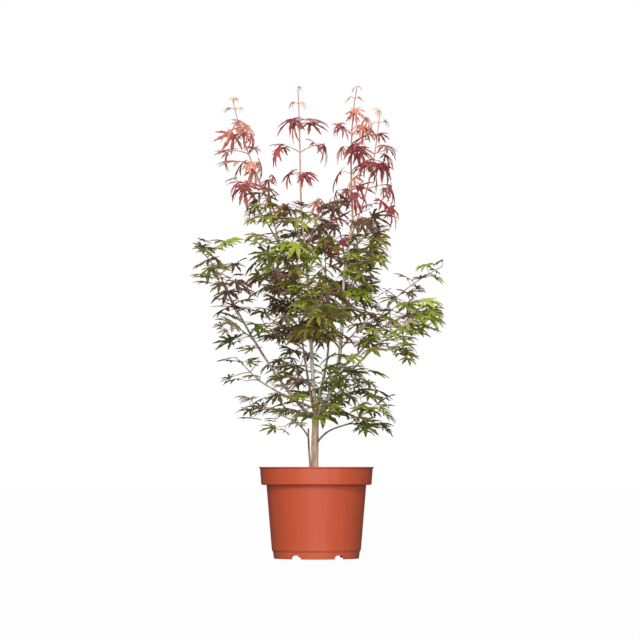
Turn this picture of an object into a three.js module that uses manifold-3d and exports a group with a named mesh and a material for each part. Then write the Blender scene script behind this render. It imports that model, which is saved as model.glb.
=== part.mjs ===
// A young Japanese maple in a round plastic nursery pot.
// Millimetres, +Z up. The origin is on the pot's axis, on the surface that the pot stands on.
// The plant forks a hand's breadth above the soil into three leaders and a ring of thinner boughs.
// Each mass of foliage is one solid: a stem, its side twigs and their palmate leaves, grown by rule.
import * as THREE from "three";
import { mergeVertices } from "three/addons/utils/BufferGeometryUtils.js";
import Module from "manifold-3d";

const wasm = await Module();
wasm.setup();

// ---------- Driving dimensions ----------
const POT_HEIGHT = 151;
const RIM_RADIUS = 95;
const COLLAR_DROP = 29; // how far the collar hangs below the rim
const COLLAR_FOOT_RADIUS = 91.2;
const BODY_TOP_RADIUS = 82.6;
const BODY_FOOT_RADIUS = 73.8;
const BODY_FOOT_HEIGHT = 14.5;
const FOOT_RADIUS = 70.4;
const WALL = 1.6;
const LIP = 1.8; // how far, and how deep, the rolled edge stands out
const FLOOR_HEIGHT = 7.5; // the pot's floor is raised on its foot ring
const POT_SIDES = 36;
const NOTCHES = 6;
const NOTCH = { width: 17, topWidth: 11, height: 6.6, turn: 32 };
const DRAIN_HOLE = { radius: 5, circle: 57, sides: 6 };
const SOIL_DEPTH = 15; // from the rim down to the soil
const GAP = 0.35; // clear space between neighbouring solids

const GROUND = POT_HEIGHT - SOIL_DEPTH;
const COLLAR_FOOT = POT_HEIGHT - COLLAR_DROP;

// ---------- Colours ----------
const finish = (color, roughness) => new THREE.MeshStandardMaterial({ color, roughness, metalness: 0 });
const PLASTIC = finish(0xc65a3e, 0.45);
const COMPOST = finish(0x3a2a20, 0.95);
const BARK = finish(0xa89a86, 0.8);
const LEAF_COLOURS = { green: finish(0x5c7a2c, 0.6), bronze: finish(0x5a3f38, 0.6), red: finish(0xc0484a, 0.55) };

// ---------- Solids ----------
// A geometry with shared vertices as a manifold solid.
function toSolid(geometry) {
  const bare = new THREE.BufferGeometry();
  bare.setAttribute("position", geometry.getAttribute("position"));
  bare.setIndex(geometry.index);
  const merged = mergeVertices(bare, 1e-4);
  return meshSolid(merged.attributes.position.array, merged.index.array);
}

function meshSolid(vertices, triangles) {
  const mesh = new wasm.Mesh({
    numProp: 3,
    vertProperties: new Float32Array(vertices),
    triVerts: new Uint32Array(triangles),
  });
  return new wasm.Manifold(mesh);
}

function toGeometry(solid) {
  const mesh = solid.getMesh();
  const geometry = new THREE.BufferGeometry();
  geometry.setAttribute("position", new THREE.BufferAttribute(mesh.vertProperties, 3));
  geometry.setIndex(new THREE.BufferAttribute(mesh.triVerts, 1));
  const flat = geometry.toNonIndexed();
  flat.computeVertexNormals();
  return flat;
}

const largestBody = (solid) => solid.decompose().sort((a, b) => b.volume() - a.volume())[0];

// A closed tube of the given radii along a line of points.
function tube(points, radii, sides) {
  const vertices = [];
  const triangles = [];
  const side = new THREE.Vector3(0, 1, 0);
  points.forEach((point, i) => {
    const along = points[Math.min(i + 1, points.length - 1)].clone().sub(points[Math.max(i - 1, 0)]).normalize();
    side.addScaledVector(along, -side.dot(along)).normalize();
    const across = new THREE.Vector3().crossVectors(along, side);
    for (let k = 0; k < sides; k++) {
      const angle = (2 * Math.PI * k) / sides;
      const out = side.clone().multiplyScalar(Math.cos(angle)).addScaledVector(across, Math.sin(angle));
      vertices.push(...point.clone().addScaledVector(out, radii[i]).toArray());
    }
  });
  const last = (points.length - 1) * sides;
  for (let i = 0; i < last; i += sides) {
    for (let k = 0; k < sides; k++) {
      const next = (k + 1) % sides;
      triangles.push(i + k, i + next, i + sides + next, i + k, i + sides + next, i + sides + k);
    }
  }
  for (let k = 1; k < sides - 1; k++) {
    triangles.push(0, k + 1, k, last, last + k, last + k + 1);
  }
  return meshSolid(vertices, triangles);
}

// ---------- Pot and soil ----------
const profile = (pairs) => pairs.map(([radius, height]) => new THREE.Vector2(radius, height));

function lathe(pairs) {
  const geometry = new THREE.LatheGeometry(profile(pairs), POT_SIDES);
  return toSolid(geometry.rotateX(Math.PI / 2));
}

// One notch in the foot ring, wider at the ground than at its top.
function notch(turn) {
  const { width, topWidth, height } = NOTCH;
  const shape = new THREE.Shape(
    profile([
      [-width / 2, -1],
      [width / 2, -1],
      [topWidth / 2 + 1, height - 1],
      [topWidth / 2, height],
      [-topWidth / 2, height],
      [-topWidth / 2 - 1, height - 1],
    ]),
  );
  const cutter = new THREE.ExtrudeGeometry(shape, { depth: RIM_RADIUS, bevelEnabled: false });
  return toSolid(cutter.rotateX(Math.PI / 2).rotateZ(turn));
}

function drainHole(turn) {
  const drill = new THREE.CylinderGeometry(DRAIN_HOLE.radius, DRAIN_HOLE.radius, 20, DRAIN_HOLE.sides);
  drill.rotateX(Math.PI / 2).translate(0, -DRAIN_HOLE.circle, FLOOR_HEIGHT);
  return toSolid(drill.rotateZ(turn));
}

function makePot() {
  const shell = lathe([
    [0, FLOOR_HEIGHT],
    [FOOT_RADIUS - WALL, FLOOR_HEIGHT],
    [FOOT_RADIUS - WALL, 0],
    [FOOT_RADIUS, 0],
    [FOOT_RADIUS + 1.2, BODY_FOOT_HEIGHT - 3.5],
    [BODY_FOOT_RADIUS, BODY_FOOT_HEIGHT],
    [BODY_TOP_RADIUS, COLLAR_FOOT],
    [COLLAR_FOOT_RADIUS, COLLAR_FOOT],
    [RIM_RADIUS - LIP, POT_HEIGHT - LIP],
    [RIM_RADIUS, POT_HEIGHT - LIP / 2],
    [RIM_RADIUS, POT_HEIGHT],
    [RIM_RADIUS - WALL - LIP, POT_HEIGHT],
    [COLLAR_FOOT_RADIUS - WALL, COLLAR_FOOT + WALL],
    [BODY_TOP_RADIUS - WALL, COLLAR_FOOT + WALL],
    [BODY_FOOT_RADIUS - WALL, BODY_FOOT_HEIGHT],
    [FOOT_RADIUS - WALL, FLOOR_HEIGHT + WALL],
    [0, FLOOR_HEIGHT + WALL],
  ]);
  const cutters = [];
  for (let k = 0; k < NOTCHES; k++) {
    const turn = THREE.MathUtils.degToRad(NOTCH.turn + (360 * k) / NOTCHES);
    cutters.push(notch(turn), drainHole(turn + Math.PI / NOTCHES));
  }
  return cutters.reduce((pot, cutter) => pot.subtract(cutter), shell);
}

// The compost fills the pot, clear of its wall, and dips a little towards the rim.
function makeSoil() {
  const clear = WALL + GAP;
  const rimSoil = THREE.MathUtils.mapLinear(GROUND, COLLAR_FOOT, POT_HEIGHT, COLLAR_FOOT_RADIUS, RIM_RADIUS - LIP);
  return lathe([
    [0, FLOOR_HEIGHT + clear],
    [FOOT_RADIUS - clear, FLOOR_HEIGHT + clear],
    [BODY_FOOT_RADIUS - clear, BODY_FOOT_HEIGHT],
    [BODY_TOP_RADIUS - clear, COLLAR_FOOT + clear],
    [COLLAR_FOOT_RADIUS - clear - 0.3, COLLAR_FOOT + clear],
    [rimSoil - clear - 0.5, GROUND - 3],
    [56, GROUND],
    [0, GROUND],
  ]);
}

// ---------- Limbs ----------
// A limb runs along one Bezier curve. It starts at a point or on an earlier limb, `at` from 0 to 1
// along it, is drawn towards two bends and ends at its tip. Radii are at its root and its tip.
const LIMBS = [
  {
    name: "trunk", root: [-2.5, 0, GROUND + GAP], bends: [[-3, 0, 172], [-2, 0, 210]], tip: [-1, 0, 245],
    radii: [6.2, 5.4], flare: 2.2, sides: 10,
  },
  { name: "leader_centre", on: "trunk", at: 0.94, bends: [[-11, 0, 340], [-10, 2, 470]], tip: [-24, 0, 556], radii: [3.6, 1.7] },
  { name: "leader_right", on: "trunk", at: 0.93, bends: [[66, 4, 304], [26, 8, 440]], tip: [61, 6, 556], radii: [3.8, 1.7] },
  { name: "leader_left", on: "leader_centre", at: 0.47, bends: [[-32, 6, 440], [-58, 10, 500]], tip: [-70, 8, 556], radii: [2.3, 1.5] },
  { name: "bough_left_long", on: "trunk", at: 0.84, bends: [[-35, -12, 254], [-92, -24, 330]], tip: [-150, -30, 446], radii: [2.9, 1.4] },
  { name: "bough_left_low", on: "leader_centre", at: 0.03, bends: [[-34, -32, 258], [-66, -42, 274]], tip: [-92, -46, 291], radii: [1.9, 1.4] },
  { name: "bough_right_spread", on: "leader_right", at: 0.3, bends: [[62, 12, 326], [80, 18, 350]], tip: [104, 22, 380], radii: [2.3, 1.6] },
  { name: "bough_right_lower", on: "leader_right", at: 0.17, bends: [[46, -16, 296], [66, -30, 318]], tip: [90, -38, 342], radii: [2.1, 1.5] },
  { name: "bough_right_low", on: "trunk", at: 0.45, bends: [[14, -8, 212], [28, -14, 214]], tip: [48, -18, 220], radii: [1.7, 1.2] },
  { name: "bough_centre", on: "trunk", at: 0.97, bends: [[3, -8, 272], [18, -14, 310]], tip: [20, -24, 350], radii: [2.4, 1.6] },
  { name: "bough_front", on: "trunk", at: 0.9, bends: [[6, -26, 262], [16, -48, 306]], tip: [20, -66, 352], radii: [2.3, 1.5] },
  { name: "bough_back", on: "trunk", at: 0.88, bends: [[-8, 28, 256], [-16, 48, 310]], tip: [-24, 66, 362], radii: [2.4, 1.5] },
  {
    name: "sprout", root: [-9.5, -8, GROUND + GAP], bends: [[-10, -9, 165], [-14, -9, 190]], tip: [-13, -9, 214],
    radii: [2, 1.4],
  },
];
const LIMB_STEPS = 6;
const LIMB_SIDES = 6;
const FLARE_HEIGHT = 14;

const vector = (numbers) => new THREE.Vector3(...numbers);
const bezier = (root, bends, tip) => new THREE.CubicBezierCurve3(root, vector(bends[0]), vector(bends[1]), vector(tip));

function layOut(limb, limbs) {
  const root = limb.root ? vector(limb.root) : limbs[limb.on].curve.getPoint(limb.at);
  limb.curve = bezier(root, limb.bends, limb.tip);
  limb.points = limb.curve.getPoints(LIMB_STEPS);
  limb.radiiAt = limb.points.map((point, i) => {
    const rise = Math.min((point.z - limb.points[0].z) / FLARE_HEIGHT, 1);
    return THREE.MathUtils.lerp(...limb.radii, i / LIMB_STEPS) + (limb.flare ?? 0) * (1 - rise) ** 2;
  });
  return limb;
}

const limbTube = (limb, extra) =>
  tube(limb.points, limb.radiiAt.map((radius) => radius + extra), limb.sides ?? LIMB_SIDES);

// ---------- Foliage ----------
// Each mass grows on one stem, from a limb's tip or, with `at`, from its side. `nodes` pairs of
// leaves or twigs stand along it from `start` on, the longest twig is `twig` long, and the whole
// keeps to `room`: left, right, foot and head of its space as seen from the front. `slant` is how
// far that space leans over from its foot to its head.
const MASSES = [
  { name: "foliage_left_bottom", on: "trunk", at: 0.93, bends: [[-36, -10, 242], [-66, -16, 246]], tip: [-108, -20, 252], room: [-133, -16, 233, 273], nodes: 6, twig: 20, start: 0.3, leaf: 32, droop: 0.12 },
  { name: "foliage_low_left", on: "sprout", at: 0.8, bends: [[-24, -22, 222], [-42, -34, 231]], tip: [-72, -42, 240], room: [-100, -12, 220, 252], nodes: 5, twig: 20, start: 0.3, leaf: 30, droop: 0.12 },
  { name: "foliage_left_low", on: "bough_left_low", bends: [[-100, -48, 297], [-108, -50, 306]], tip: [-130, -50, 328], room: [-157, -66, 288, 344], nodes: 4, twig: 28, start: 0.05, leaf: 32, droop: 0.2 },
  { name: "foliage_left_ring", on: "leader_centre", at: 0.14, bends: [[-24, -24, 298], [-44, -36, 300]], tip: [-72, -46, 303], room: [-88, -8, 285, 322], nodes: 5, twig: 22, start: 0.2, leaf: 32, droop: 0.12 },
  { name: "foliage_left_under", on: "bough_left_long", at: 0.62, bends: [[-104, -34, 366], [-120, -38, 376]], tip: [-146, -42, 386], room: [-168, -84, 350, 400], nodes: 4, twig: 24, start: 0.2, leaf: 34, droop: 0.2 },
  { name: "foliage_left_inner", on: "bough_left_long", at: 0.74, bends: [[-92, -36, 372], [-76, -42, 384]], tip: [-52, -46, 404], room: [-112, -28, 334, 424], nodes: 5, twig: 32, start: 0.2 },
  { name: "foliage_left_arm", on: "bough_left_long", at: 0.9, bends: [[-138, -46, 412], [-142, -62, 416]], tip: [-130, -84, 424], room: [-168, -94, 388, 448], nodes: 6, twig: 38, start: 0.04 },
  { name: "foliage_left_tip", on: "bough_left_long", bends: [[-156, -31, 460], [-162, -31, 478]], tip: [-198, -28, 516], room: [-211, -110, 460, 527], nodes: 6, twig: 34, start: 0.05, leaf: 36, droop: 0.2 },
  { name: "foliage_mid_left", on: "leader_left", at: 0.3, bends: [[-44, -20, 452], [-62, -32, 466]], tip: [-84, -40, 498], room: [-80, 14, 398, 540], slant: -40, nodes: 7, twig: 44, start: 0.12, droop: 0.5 },
  { name: "foliage_back_left", on: "leader_left", at: 0.45, bends: [[-50, 40, 466], [-60, 70, 476]], tip: [-70, 100, 500], room: [-122, -16, 400, 540], nodes: 5, twig: 46, start: 0.2 },
  { name: "foliage_upper_left", on: "leader_left", at: 0.72, bends: [[-74, -10, 544], [-84, -20, 558]], tip: [-98, -24, 580], room: [-116, -36, 520, 608], nodes: 5, twig: 28, start: 0.16, colour: "bronze", leaf: 34 },
  { name: "foliage_left_top", on: "leader_left", bends: [[-84, 6, 610], [-124, 0, 680]], tip: [-139, 0, 762], room: [-144, -54, 568, 770], slant: -52, nodes: 8, twig: 38, start: 0.05, colour: "red" },
  { name: "foliage_centre_top", on: "leader_centre", bends: [[-28, 0, 620], [-26, -4, 700]], tip: [-31, 0, 783], room: [-86, 38, 562, 788], nodes: 6, twig: 32, start: 0.1, colour: "red" },
  { name: "foliage_right_top", on: "leader_right", bends: [[56, 6, 640], [56, 4, 730]], tip: [68, 2, 783], room: [18, 98, 562, 788], nodes: 8, twig: 30, start: 0.04, colour: "red" },
  { name: "foliage_right_outer", on: "leader_right", at: 0.9, bends: [[86, -22, 600], [98, -24, 660]], tip: [105, -18, 738], room: [50, 132, 560, 748], nodes: 8, twig: 30, start: 0.14, colour: "red", leaf: 49 },
  { name: "foliage_upper_right", on: "leader_right", at: 0.8, bends: [[68, 30, 530], [82, 38, 540]], tip: [106, 40, 548], room: [28, 146, 500, 596], nodes: 5, twig: 34, start: 0.15 },
  { name: "foliage_upper_centre", on: "leader_right", at: 0.8, bends: [[44, -34, 530], [34, -44, 550]], tip: [22, -46, 590], room: [-22, 68, 520, 624], nodes: 5, twig: 32, start: 0.25, colour: "bronze", droop: 0.5 },
  { name: "foliage_upper_front", on: "leader_centre", at: 0.74, bends: [[-26, -28, 516], [-32, -44, 536]], tip: [-34, -62, 574], room: [-86, 16, 486, 620], nodes: 5, twig: 38, start: 0.15, colour: "bronze", droop: 0.5 },
  { name: "foliage_upper_back", on: "leader_centre", at: 0.82, bends: [[-14, 30, 526], [-8, 50, 538]], tip: [-2, 78, 562], room: [-70, 60, 486, 612], nodes: 4, twig: 42, start: 0.15, colour: "bronze" },
  { name: "foliage_mid_right", on: "leader_right", at: 0.62, bends: [[54, -26, 448], [66, -40, 466]], tip: [78, -48, 500], room: [26, 110, 404, 538], nodes: 6, twig: 42, start: 0.15, droop: 0.5 },
  { name: "foliage_back_right", on: "leader_right", at: 0.58, bends: [[54, 44, 430], [62, 70, 446]], tip: [68, 100, 480], room: [14, 108, 396, 530], nodes: 5, twig: 46, start: 0.2 },
  { name: "foliage_centre", on: "bough_centre", bends: [[22, -32, 390], [16, -40, 430]], tip: [14, -44, 522], room: [-46, 62, 346, 560], nodes: 9, twig: 42, start: 0.04, droop: 0.5 },
  { name: "foliage_centre_left", on: "leader_centre", at: 0.28, bends: [[-16, -18, 340], [-26, -28, 350]], tip: [-46, -36, 358], room: [-64, 4, 326, 382], nodes: 4, twig: 24, start: 0.3, colour: "bronze" },
  { name: "foliage_front_arm", on: "bough_front", bends: [[14, -88, 380], [6, -104, 400]], tip: [-6, -116, 440], room: [-66, 66, 326, 470], nodes: 6, twig: 50, start: 0.05, droop: 0.5 },
  { name: "foliage_back_arm", on: "bough_back", bends: [[-30, 84, 390], [-30, 110, 412]], tip: [-20, 144, 446], room: [-84, 60, 330, 470], nodes: 5, twig: 50, start: 0.05, droop: 0.5 },
  { name: "foliage_right_inner", on: "leader_right", at: 0.4, bends: [[56, -10, 366], [66, -16, 376]], tip: [88, -22, 396], room: [28, 118, 336, 424], nodes: 5, twig: 32, start: 0.2, droop: 0.5 },
  { name: "foliage_right_arm", on: "bough_right_spread", bends: [[124, 24, 392], [150, 24, 404]], tip: [196, 16, 414], room: [96, 216, 376, 438], nodes: 7, twig: 38, start: 0.04 },
  { name: "foliage_right_tip", on: "bough_right_spread", at: 0.8, bends: [[102, 8, 404], [128, 0, 440]], tip: [210, 2, 484], room: [92, 217, 418, 492], nodes: 8, twig: 22, start: 0.3, leaf: 32, droop: 0.2 },
  { name: "foliage_right_lower", on: "bough_right_lower", bends: [[100, -40, 352], [114, -42, 362]], tip: [140, -42, 370], room: [60, 172, 320, 414], nodes: 6, twig: 40, start: 0.03, droop: 0.5 },
  { name: "foliage_right_low", on: "leader_right", at: 0.07, bends: [[34, 18, 276], [58, 26, 294]], tip: [94, 30, 292], room: [22, 118, 268, 334], nodes: 6, twig: 30, start: 0.28, droop: 0.2 },
  { name: "foliage_right_bottom", on: "bough_right_low", bends: [[62, -20, 224], [80, -22, 240]], tip: [112, -24, 262], room: [40, 134, 206, 280], nodes: 5, twig: 30, start: 0.06, leaf: 34, droop: 0.2 },
  { name: "foliage_front_mid", on: "bough_front", at: 0.5, bends: [[22, -52, 300], [30, -62, 308]], tip: [40, -88, 326], room: [-24, 84, 268, 358], nodes: 5, twig: 40, start: 0.25, droop: 0.5 },
  { name: "foliage_front_low", on: "trunk", at: 0.96, bends: [[-8, -28, 252], [-8, -48, 258]], tip: [-4, -80, 266], room: [-60, 62, 218, 300], nodes: 6, twig: 36, start: 0.26 },
  { name: "foliage_back_mid", on: "bough_back", at: 0.5, bends: [[-24, 54, 300], [-34, 66, 312]], tip: [-40, 92, 330], room: [-96, 30, 262, 356], nodes: 4, twig: 34, start: 0.25 },
  { name: "foliage_back_low", on: "trunk", at: 0.86, bends: [[12, 30, 238], [22, 56, 252]], tip: [20, 88, 286], room: [-60, 72, 212, 326], nodes: 4, twig: 38, start: 0.3 },
];
const FULL_LEAF = 40;
const RED_LEAF = 44;
const LEAF_THICKNESS = 1.3;
const PETIOLE_SHARE = 0.55; // its length as a share of the leaf's
const STEM = { radii: [1.5, 0.9], sides: 4, startTurn: 45 };
const TWIG = { radii: [1.15, 0.8], sides: 3, startTurn: 270, sag: 0.16, internode: 46, shortest: 16 };
const NODE_HALF = 1.2; // half the length of stem that a pair of leaves or twigs grows from
const LONGEST_STRAIGHT = 52; // a shoot gets a ring of points at least this often
const CELL_MARGIN = 1.4; // how much nearer a leaf keeps to its own stem than to any other
const LIMB_CLEARANCE = 1.6; // from a lobe's middle line to a limb's bark
const LEAF_SPACING = 0.62; // between leaves of one mass, as a share of their length
const CROWN_DEPTH = 182; // the crown's reach to the front and to the back
const LEAF_TRIES = 25;

// A leaf's outline: the turn of each lobe from the middle one, in degrees, and its reach as a share
// of the middle lobe's; the notches between lobes; and the two corners beside the petiole.
const LOBE_TURNS = [-98, -47, 0, 47, 98];
const LOBE_REACH = [0.64, 0.93, 1, 0.93, 0.64];
const SINUS_REACH = 0.39;
const BASE_TURN = 152;
const BASE_REACH = 0.08;

// A repeatable number from 0 to 1 for any list of whole numbers.
function draw(...keys) {
  let mixed = 2166136261;
  for (const key of keys) {
    mixed = Math.imul(mixed ^ key, 16777619) >>> 0;
    mixed = (mixed ^ (mixed >>> 15)) >>> 0;
    mixed = Math.imul(mixed, 2246822519) >>> 0;
  }
  mixed = (mixed ^ (mixed >>> 13)) >>> 0;
  return mixed / 4294967296;
}
const within = (reach, ...keys) => reach * (2 * draw(...keys) - 1);

const UP = new THREE.Vector3(0, 0, 1);
const radians = THREE.MathUtils.degToRad;

// Points along a curve, each with the direction onward and a steady pair of side directions.
function framesAlong(curve, shares) {
  let side = new THREE.Vector3().crossVectors(curve.getTangent(0), UP);
  if (side.lengthSq() < 0.1) side.set(1, 0, 0);
  return shares.map((share) => {
    const along = curve.getTangent(share);
    side = side.clone().addScaledVector(along, -side.dot(along)).normalize();
    return { point: curve.getPoint(share), along, side, over: new THREE.Vector3().crossVectors(along, side) };
  });
}

// ---------- Leaves ----------
// Places a leaf: its petiole runs from `node` along `way`, and the blade is pitched and rolled.
function placeLeaf(node, way, length, droop, keys) {
  const petiole = length * PETIOLE_SHARE * (0.8 + 0.5 * draw(...keys, 1));
  const base = node.clone().addScaledVector(way, petiole);
  base.z -= droop * petiole * 0.25;
  const heading = Math.atan2(way.y, way.x) + radians(within(28, ...keys, 2));
  const pitch = radians(-8 - 62 * droop + within(16, ...keys, 3));
  const roll = radians(within(34, ...keys, 4));
  const forward = new THREE.Vector3(
    Math.cos(heading) * Math.cos(pitch),
    Math.sin(heading) * Math.cos(pitch),
    Math.sin(pitch),
  );
  const level = new THREE.Vector3(-Math.sin(heading), Math.cos(heading), 0);
  const left = level.applyAxisAngle(forward, roll);
  const normal = new THREE.Vector3().crossVectors(forward, left);
  return { node, base, way, forward, left, normal, length, droop };
}

// A point of the blade, `turn` degrees round from the middle lobe, bent down towards the tips.
function bladePoint(leaf, turn, reach) {
  const angle = radians(turn);
  const sag = (0.1 + 0.35 * leaf.droop) * reach * reach;
  return leaf.base
    .clone()
    .addScaledVector(leaf.forward, leaf.length * reach * Math.cos(angle))
    .addScaledVector(leaf.left, leaf.length * reach * Math.sin(angle))
    .addScaledVector(leaf.normal, -leaf.length * sag);
}

// The blade's edge from its right base round the tips to its left base.
function bladeRim(leaf) {
  const rim = [bladePoint(leaf, -BASE_TURN, BASE_REACH)];
  LOBE_TURNS.forEach((turn, i) => {
    rim.push(bladePoint(leaf, turn, LOBE_REACH[i]));
    const next = LOBE_TURNS[i + 1];
    if (next !== undefined) rim.push(bladePoint(leaf, (turn + next) / 2, SINUS_REACH));
  });
  rim.push(bladePoint(leaf, BASE_TURN, BASE_REACH));
  return rim;
}

// ---------- One closed skin for each mass ----------
// Whether the straight line from p to q passes through the triangle a, b, c.
function pierces(p, q, a, b, c) {
  const [ax, ay, az] = [b.x - a.x, b.y - a.y, b.z - a.z];
  const [bx, by, bz] = [c.x - a.x, c.y - a.y, c.z - a.z];
  const [dx, dy, dz] = [q.x - p.x, q.y - p.y, q.z - p.z];
  const [hx, hy, hz] = [dy * bz - dz * by, dz * bx - dx * bz, dx * by - dy * bx];
  const slope = ax * hx + ay * hy + az * hz;
  if (Math.abs(slope) < 1e-12) return false;
  const [sx, sy, sz] = [p.x - a.x, p.y - a.y, p.z - a.z];
  const u = (sx * hx + sy * hy + sz * hz) / slope;
  if (u < 0 || u > 1) return false;
  const [qx, qy, qz] = [sy * az - sz * ay, sz * ax - sx * az, sx * ay - sy * ax];
  const v = (dx * qx + dy * qy + dz * qz) / slope;
  if (v < 0 || u + v > 1) return false;
  const t = (bx * qx + by * qy + bz * qz) / slope;
  return t > 0 && t < 1;
}

// Stem, twigs and leaves grow out of one another's triangles, so that a mass is a single skin that
// nowhere passes through itself.
class Skin {
  points = [];
  triangles = [];
  boxes = [];
  openings = [];

  add(...points) {
    this.points.push(...points);
    return points.map((_, i) => this.points.length - points.length + i);
  }

  face(...corners) {
    const [a, b, c] = corners.map((k) => this.points[k]);
    this.triangles.push(corners);
    this.boxes.push(new THREE.Box3().setFromPoints([a, b, c]));
  }

  ring({ point, side, over }, radius, { sides, startTurn }) {
    return this.add(
      ...Array.from({ length: sides }, (_, k) => {
        const angle = radians(startTurn + (360 * k) / sides);
        return point
          .clone()
          .addScaledVector(side, radius * Math.cos(angle))
          .addScaledVector(over, radius * Math.sin(angle));
      }),
    );
  }

  // Closes a ring with a fan of triangles that faces onward.
  cap(ring) {
    for (let k = 1; k < ring.length - 1; k++) this.face(ring[0], ring[k], ring[k + 1]);
  }

  // A wall between two rings that both run anticlockwise as seen from the outer one.
  join(inner, outer) {
    let best = null;
    for (let shift = 0; shift < outer.length; shift++) {
      const wall = this.wall(inner, outer.map((_, k) => outer[(k + shift) % outer.length]));
      if (!best || wall.length < best.length) best = wall;
    }
    const first = this.triangles.length;
    best.triangles.forEach((corners) => this.face(...corners));
    return best.triangles.map((_, k) => first + k);
  }

  wall(inner, outer) {
    const triangles = [];
    let length = 0;
    for (let i = 0, j = 0; i < inner.length || j < outer.length; ) {
      const [a, b] = [inner[i % inner.length], inner[(i + 1) % inner.length]];
      const [c, d] = [outer[j % outer.length], outer[(j + 1) % outer.length]];
      if ((i + 1) / inner.length <= (j + 1) / outer.length) {
        triangles.push([a, b, c]);
        length += this.points[b].distanceTo(this.points[c]);
        i += 1;
      } else {
        triangles.push([a, d, c]);
        length += this.points[a].distanceTo(this.points[d]);
        j += 1;
      }
    }
    return { triangles, length };
  }

  // Takes out the band's triangle that faces `way` best, and returns its corners to grow from.
  open(band, way) {
    let chosen = null;
    for (const index of band) {
      if (!this.triangles[index]) continue;
      const [a, b, c] = this.triangles[index].map((k) => this.points[k]);
      const facing = new THREE.Triangle(a, b, c).getNormal(new THREE.Vector3()).dot(way);
      if (facing > (chosen?.facing ?? 0.3)) chosen = { index, facing, corners: this.triangles[index] };
    }
    if (!chosen) return null;
    this.openings.push(chosen);
    this.triangles[chosen.index] = null;
    return chosen.corners;
  }

  // Whether a triangle from the index `first` on passes through any other that it doesn't touch.
  crosses(first) {
    for (let i = first; i < this.triangles.length; i++) {
      const mine = this.triangles[i];
      if (!mine) continue;
      const a = mine.map((k) => this.points[k]);
      for (let j = 0; j < i; j++) {
        const other = this.triangles[j];
        if (!other || !this.boxes[i].intersectsBox(this.boxes[j]) || mine.some((k) => other.includes(k))) continue;
        const b = other.map((k) => this.points[k]);
        for (let k = 0; k < 3; k++) {
          if (pierces(a[k], a[(k + 1) % 3], ...b) || pierces(b[k], b[(k + 1) % 3], ...a)) return true;
        }
      }
    }
    return false;
  }

  // Carries out `build`, and takes it all back if it comes to nothing or passes through the rest.
  attempt(build) {
    const [points, triangles, openings] = [this.points.length, this.triangles.length, this.openings.length];
    const result = build();
    if (result && !this.crosses(triangles)) return result;
    this.points.length = points;
    this.triangles.length = triangles;
    this.boxes.length = triangles;
    for (const { index, corners } of this.openings.splice(openings)) {
      if (index < triangles) this.triangles[index] = corners;
    }
    return null;
  }

  growLeaf(corners, leaf) {
    if (!corners) return null;
    const rim = this.add(...bladeRim(leaf));
    const [top] = this.add(leaf.base.clone().addScaledVector(leaf.normal, LEAF_THICKNESS / 2));
    const [under] = this.add(leaf.base.clone().addScaledVector(leaf.normal, -LEAF_THICKNESS / 2));
    for (let k = 0; k < rim.length - 1; k++) {
      this.face(top, rim[k], rim[k + 1]);
      this.face(under, rim[k + 1], rim[k]);
    }
    this.join(corners, [under, rim.at(-1), top, rim[0]]);
    return leaf;
  }

  // Grows a stem or twig, from its own end cap or out of an opened triangle, and returns for each
  // share of its length in `shares` the band of triangles that leaves or twigs can grow from.
  growShoot(corners, { curve, radii, kind }, shares) {
    const half = NODE_HALF / curve.getLength();
    const stations = corners ? [] : [0];
    const bandEnds = shares.map((share) => {
      const centre = Math.min(share, 1 - half);
      const from = stations.at(-1) ?? 0;
      const pieces = Math.max(1, Math.ceil(((centre - half - from) * curve.getLength()) / LONGEST_STRAIGHT));
      for (let k = 1; k < pieces; k++) stations.push(from + ((centre - half - from) * k) / pieces);
      return stations.push(centre - half, centre + half) - 1;
    });
    const rings = framesAlong(curve, stations).map((frame, i) =>
      this.ring(frame, THREE.MathUtils.lerp(...radii, stations[i]), kind),
    );
    if (corners) this.join(corners, rings[0]);
    else this.cap(rings[0].slice().reverse());
    const bands = rings.slice(1).map((ring, i) => this.join(rings[i], ring));
    this.cap(rings.at(-1));
    return bandEnds.map((end) => bands[end - 1]);
  }

  toSolid() {
    return meshSolid(
      this.points.flatMap((point) => point.toArray()),
      this.triangles.filter(Boolean).flat(),
    );
  }
}

// ---------- Keeping to the space ----------
const toLine = (point, line) => {
  let nearest = Infinity;
  for (let i = 0; i < line.length - 1; i++) {
    const along = line[i + 1].clone().sub(line[i]);
    const share = THREE.MathUtils.clamp(point.clone().sub(line[i]).dot(along) / along.lengthSq(), 0, 1);
    nearest = Math.min(nearest, point.distanceTo(line[i].clone().addScaledVector(along, share)));
  }
  return nearest;
};

// The least distance between two straight pieces.
function between([a, b], [c, d]) {
  const [u, v, w] = [b.clone().sub(a), d.clone().sub(c), a.clone().sub(c)];
  const [uu, uv, vv, uw, vw] = [u.dot(u), u.dot(v), v.dot(v), u.dot(w), v.dot(w)];
  const spread = uu * vv - uv * uv;
  let s = spread > 1e-9 ? THREE.MathUtils.clamp((uv * vw - vv * uw) / spread, 0, 1) : 0;
  const t = THREE.MathUtils.clamp((uv * s + vw) / vv, 0, 1);
  s = THREE.MathUtils.clamp((uv * t - uw) / uu, 0, 1);
  return a.clone().addScaledVector(u, s).distanceTo(c.clone().addScaledVector(v, t));
}

// Whether a point lies in the mass's room, and nearer to its own stem than to every other stem.
function inSpace(point, mass) {
  const [left, right, foot, head] = mass.room;
  const lean = ((mass.slant ?? 0) * (point.z - foot)) / (head - foot);
  if (point.x < left + lean || point.x > right + lean || point.z < foot || point.z > head) return false;
  if (Math.abs(point.y) > CROWN_DEPTH) return false;
  const own = toLine(point, mass.line) + CELL_MARGIN;
  return MASSES.every((other) => other === mass || toLine(point, other.line) > own);
}

const SAMPLES = 4;
const samples = ([from, to]) => Array.from({ length: SAMPLES }, (_, i) => from.clone().lerp(to, (i + 1) / SAMPLES));

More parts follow.
